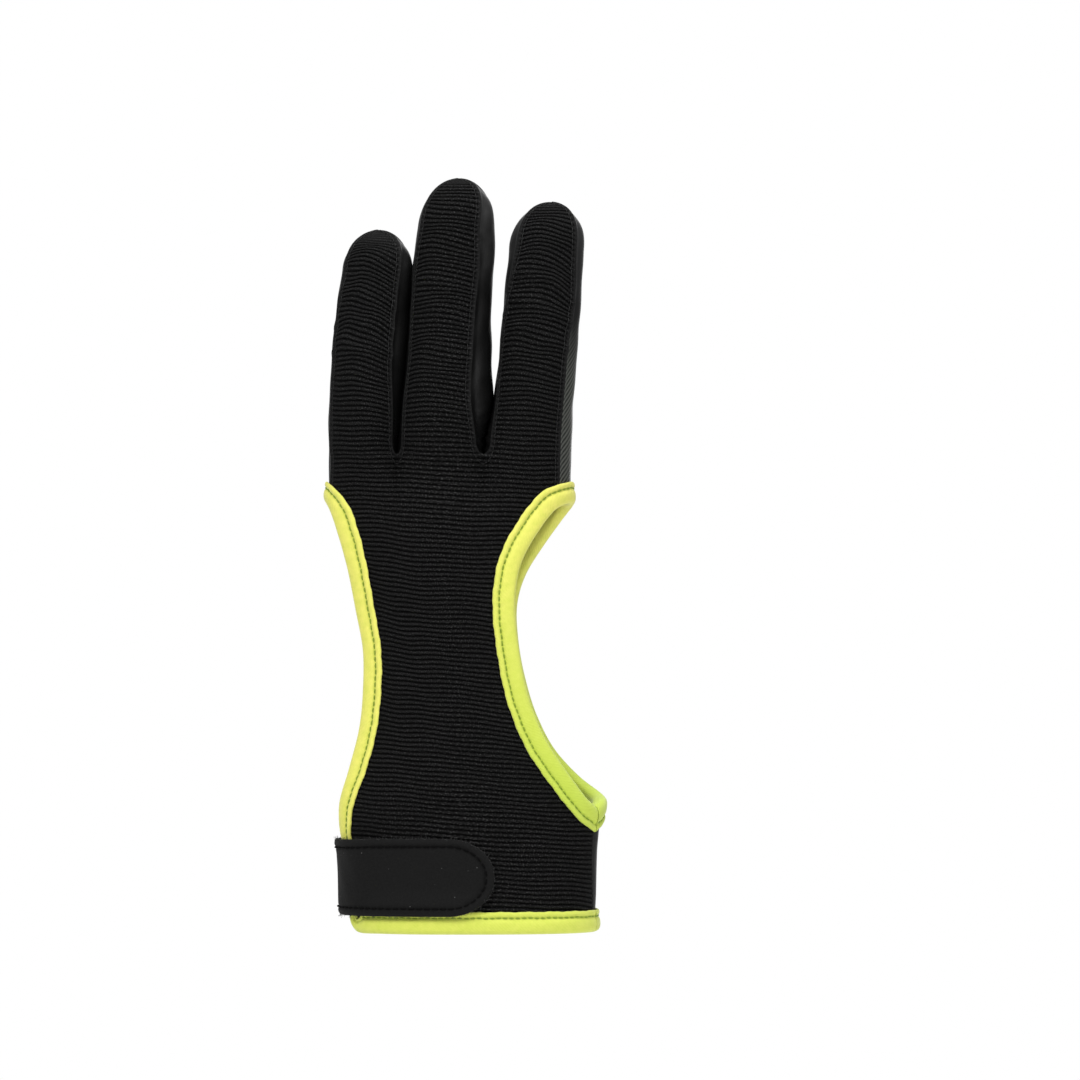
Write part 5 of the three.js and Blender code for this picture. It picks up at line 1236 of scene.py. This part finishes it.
strap.data.materials.append(strap_cloth)
kept(strap, ["wrist_strap"])

around = np.linspace(strap_length - STRAP_INSET, STRAP_TIP, 60)
top_level = STRAP_HEIGHT / 2 - STRAP_INSET
bend_angle = np.radians(np.linspace(90, -90, 30))
path_length = np.concatenate([around, STRAP_TIP - (STRAP_TIP - STRAP_INSET) * np.cos(bend_angle), around[::-1],
                              np.full(12, strap_length - STRAP_INSET)])
path_level = np.concatenate([np.full(60, top_level), top_level * np.sin(bend_angle), np.full(60, -top_level),
                             np.linspace(-top_level, top_level, 12)])
path = strap_points(path_length, path_level, np.full(len(path_length), STRAP_WALL - 0.16))
path_out = unit(path - strap_points(path_length, path_level, np.full(len(path_length), 0.0)))
# Dull black thread, sunk in the nap
dull_thread, _, _ = finish_for("dull_black_thread", {
    "Base Color": colour("#040404"), "Roughness": 0.8, "Specular IOR Level": 0.1})
sewn("strap_stitches", [list(zip(path, path_out))], STRAP_STITCH, STRAP_STITCH_GAP, STRAP_THREAD, dull_thread)

# Loose fibres of the nap stand out all round the cut edge
fibres, ins, outs = geometry_tree("loose_fibres", {
    "Spacing": float, "Fibre Length": float, "Fibre Width": float, "Fibre": bpy.types.Material})
curve = node(fibres, "GeometryNodeMeshToCurve", {"Mesh": ins.outputs["Geometry"]})
spots = node(fibres, "GeometryNodeResampleCurve", {"Curve": curve.outputs[0], "Length": ins.outputs["Spacing"]},
             mode="LENGTH")
leaning = node(fibres, "FunctionNodeRandomValue", {"Min": (-3.1, -3.1, -3.1), "Max": (3.1, 3.1, 3.1), "Seed": 11},
               data_type="FLOAT_VECTOR")
longer = node(fibres, "FunctionNodeRandomValue", {2: 0.4, 3: 1.3, "Seed": 5}, data_type="FLOAT")
reach = node(fibres, "ShaderNodeCombineXYZ", {"X": ins.outputs["Fibre Length"]})
bend = node(fibres, "ShaderNodeMath", {0: ins.outputs["Fibre Length"], 1: 0.4}, operation="MULTIPLY")
middle = node(fibres, "ShaderNodeCombineXYZ", {"X": bend.outputs[0], "Z": bend.outputs[0]})
hair = node(fibres, "GeometryNodeCurveQuadraticBezier", {"Resolution": 3, "Start": (0, 0, 0),
                                                         "Middle": middle.outputs[0], "End": reach.outputs[0]})
ring = node(fibres, "GeometryNodeCurvePrimitiveCircle", {"Resolution": 3, "Radius": ins.outputs["Fibre Width"]})
strand = node(fibres, "GeometryNodeCurveToMesh", {
    "Curve": hair.outputs[0], "Profile Curve": ring.outputs[0], "Fill Caps": True})
placed = node(fibres, "GeometryNodeInstanceOnPoints", {
    "Points": spots.outputs[0], "Instance": strand.outputs[0], "Scale": longer.outputs[1]})
turned = node(fibres, "GeometryNodeRotateInstances", {"Instances": placed.outputs[0], "Rotation": leaning.outputs[0]})
whole = node(fibres, "GeometryNodeRealizeInstances", {"Geometry": turned.outputs[0]})
done = node(fibres, "GeometryNodeSetMaterial", {"Geometry": whole.outputs[0], "Material": ins.outputs["Fibre"]})
fibres.links.new(done.outputs[0], outs.inputs["Geometry"])

# Fine nylon fibre, which catches the light
fibre, _, _ = finish_for("nylon_fibre", {"Base Color": colour("#3C3C3C"), "Roughness": 0.5})

outline_length = np.concatenate([np.linspace(strap_length, STRAP_TIP, 60), STRAP_TIP * (1 - np.cos(bend_angle)),
                                 np.linspace(STRAP_TIP, strap_length, 60)])
outline_level = STRAP_HEIGHT / 2 * np.concatenate([np.ones(60), np.sin(bend_angle), -np.ones(60)])
outline = strap_points(outline_length, outline_level, np.full(len(outline_length), 0.9))
mesh = bpy.data.meshes.new("strap_edge_fuzz")
mesh.from_pydata((outline / 1000).tolist(), [(at, at + 1) for at in range(len(outline) - 1)], [])
fuzz = in_scene("strap_edge_fuzz", mesh)
grown(fuzz, fibres, {"Spacing": FIBRE_SPACING / 1000, "Fibre Length": FIBRE_LENGTH / 1000,
                     "Fibre Width": FIBRE_WIDTH / 1000, "Fibre": fibre})
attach(fuzz, "root")


# Stage
# A plain pale floor some way under the held glove, soft studio lights, and a camera square to the back of the
# hand, as in the photo. Not part of the object.

# Photo frame: 1080 pixels to 300 mm, its middle 18.5 mm towards the thumb and 108.6 mm up
FRAME_WIDTH, FRAME_MIDDLE, CAMERA_AWAY, SENSOR_WIDTH = 0.3, (0.0185, 0.0, 0.1086), 2.2, 36
FLOOR_RADIUS, FLOOR_LEVEL = 0.5, -0.085
camera = in_scene("camera", bpy.data.cameras.new("camera"))
camera.data.sensor_width = SENSOR_WIDTH
camera.data.lens = SENSOR_WIDTH * CAMERA_AWAY / FRAME_WIDTH
camera.location = (FRAME_MIDDLE[0], -CAMERA_AWAY, FRAME_MIDDLE[2])
camera.rotation_euler = (math.pi / 2, 0, 0)
bpy.context.scene.camera = camera

floor_mesh = bpy.data.meshes.new("pale_floor")
shape = bmesh.new()
bmesh.ops.create_circle(shape, cap_ends=True, radius=FLOOR_RADIUS, segments=96)
shape.to_mesh(floor_mesh)
shape.free()
floor_mesh.transform(mathutils.Matrix.Translation((0, 0, FLOOR_LEVEL)))
floor = in_scene("pale_floor", floor_mesh)
pale, _, _ = finish_for("pale_floor_paint", {"Base Color": colour("#EDEDED"), "Roughness": 0.9})
floor_mesh.materials.append(pale)

world = bpy.data.worlds.new("studio")
bpy.context.scene.world = world
world.use_nodes = True
# The backdrop is white to the camera and lights the glove only weakly
seen = node(world.node_tree, "ShaderNodeLightPath")
level = node(world.node_tree, "ShaderNodeMapRange", {0: seen.outputs["Is Camera Ray"], 3: 0.25, 4: 1.0})
world.node_tree.nodes["Background"].inputs["Color"].default_value = (1, 1, 1, 1)
world.node_tree.links.new(level.outputs[0], world.node_tree.nodes["Background"].inputs["Strength"])
for name, place, size, watts in (("key", (-0.5, -0.85, 0.95), 0.55, 10.5), ("fill", (1.1, -1.0, 0.3), 1.0, 7),
                                 ("top", (0.1, 0.0, 1.3), 0.6, 9), ("back", (0.2, 2.0, 0.5), 1.4, 6)):
    lamp = bpy.data.lights.new(name, "AREA")
    lamp.size, lamp.energy = size, watts
    light = in_scene(name, lamp)
    light.location = place
    aim = np.array(FRAME_MIDDLE) - np.array(place)
    light.rotation_euler = mathutils.Vector(aim).to_track_quat("-Z", "Y").to_euler()
bpy.context.scene.view_settings.view_transform = "Standard"
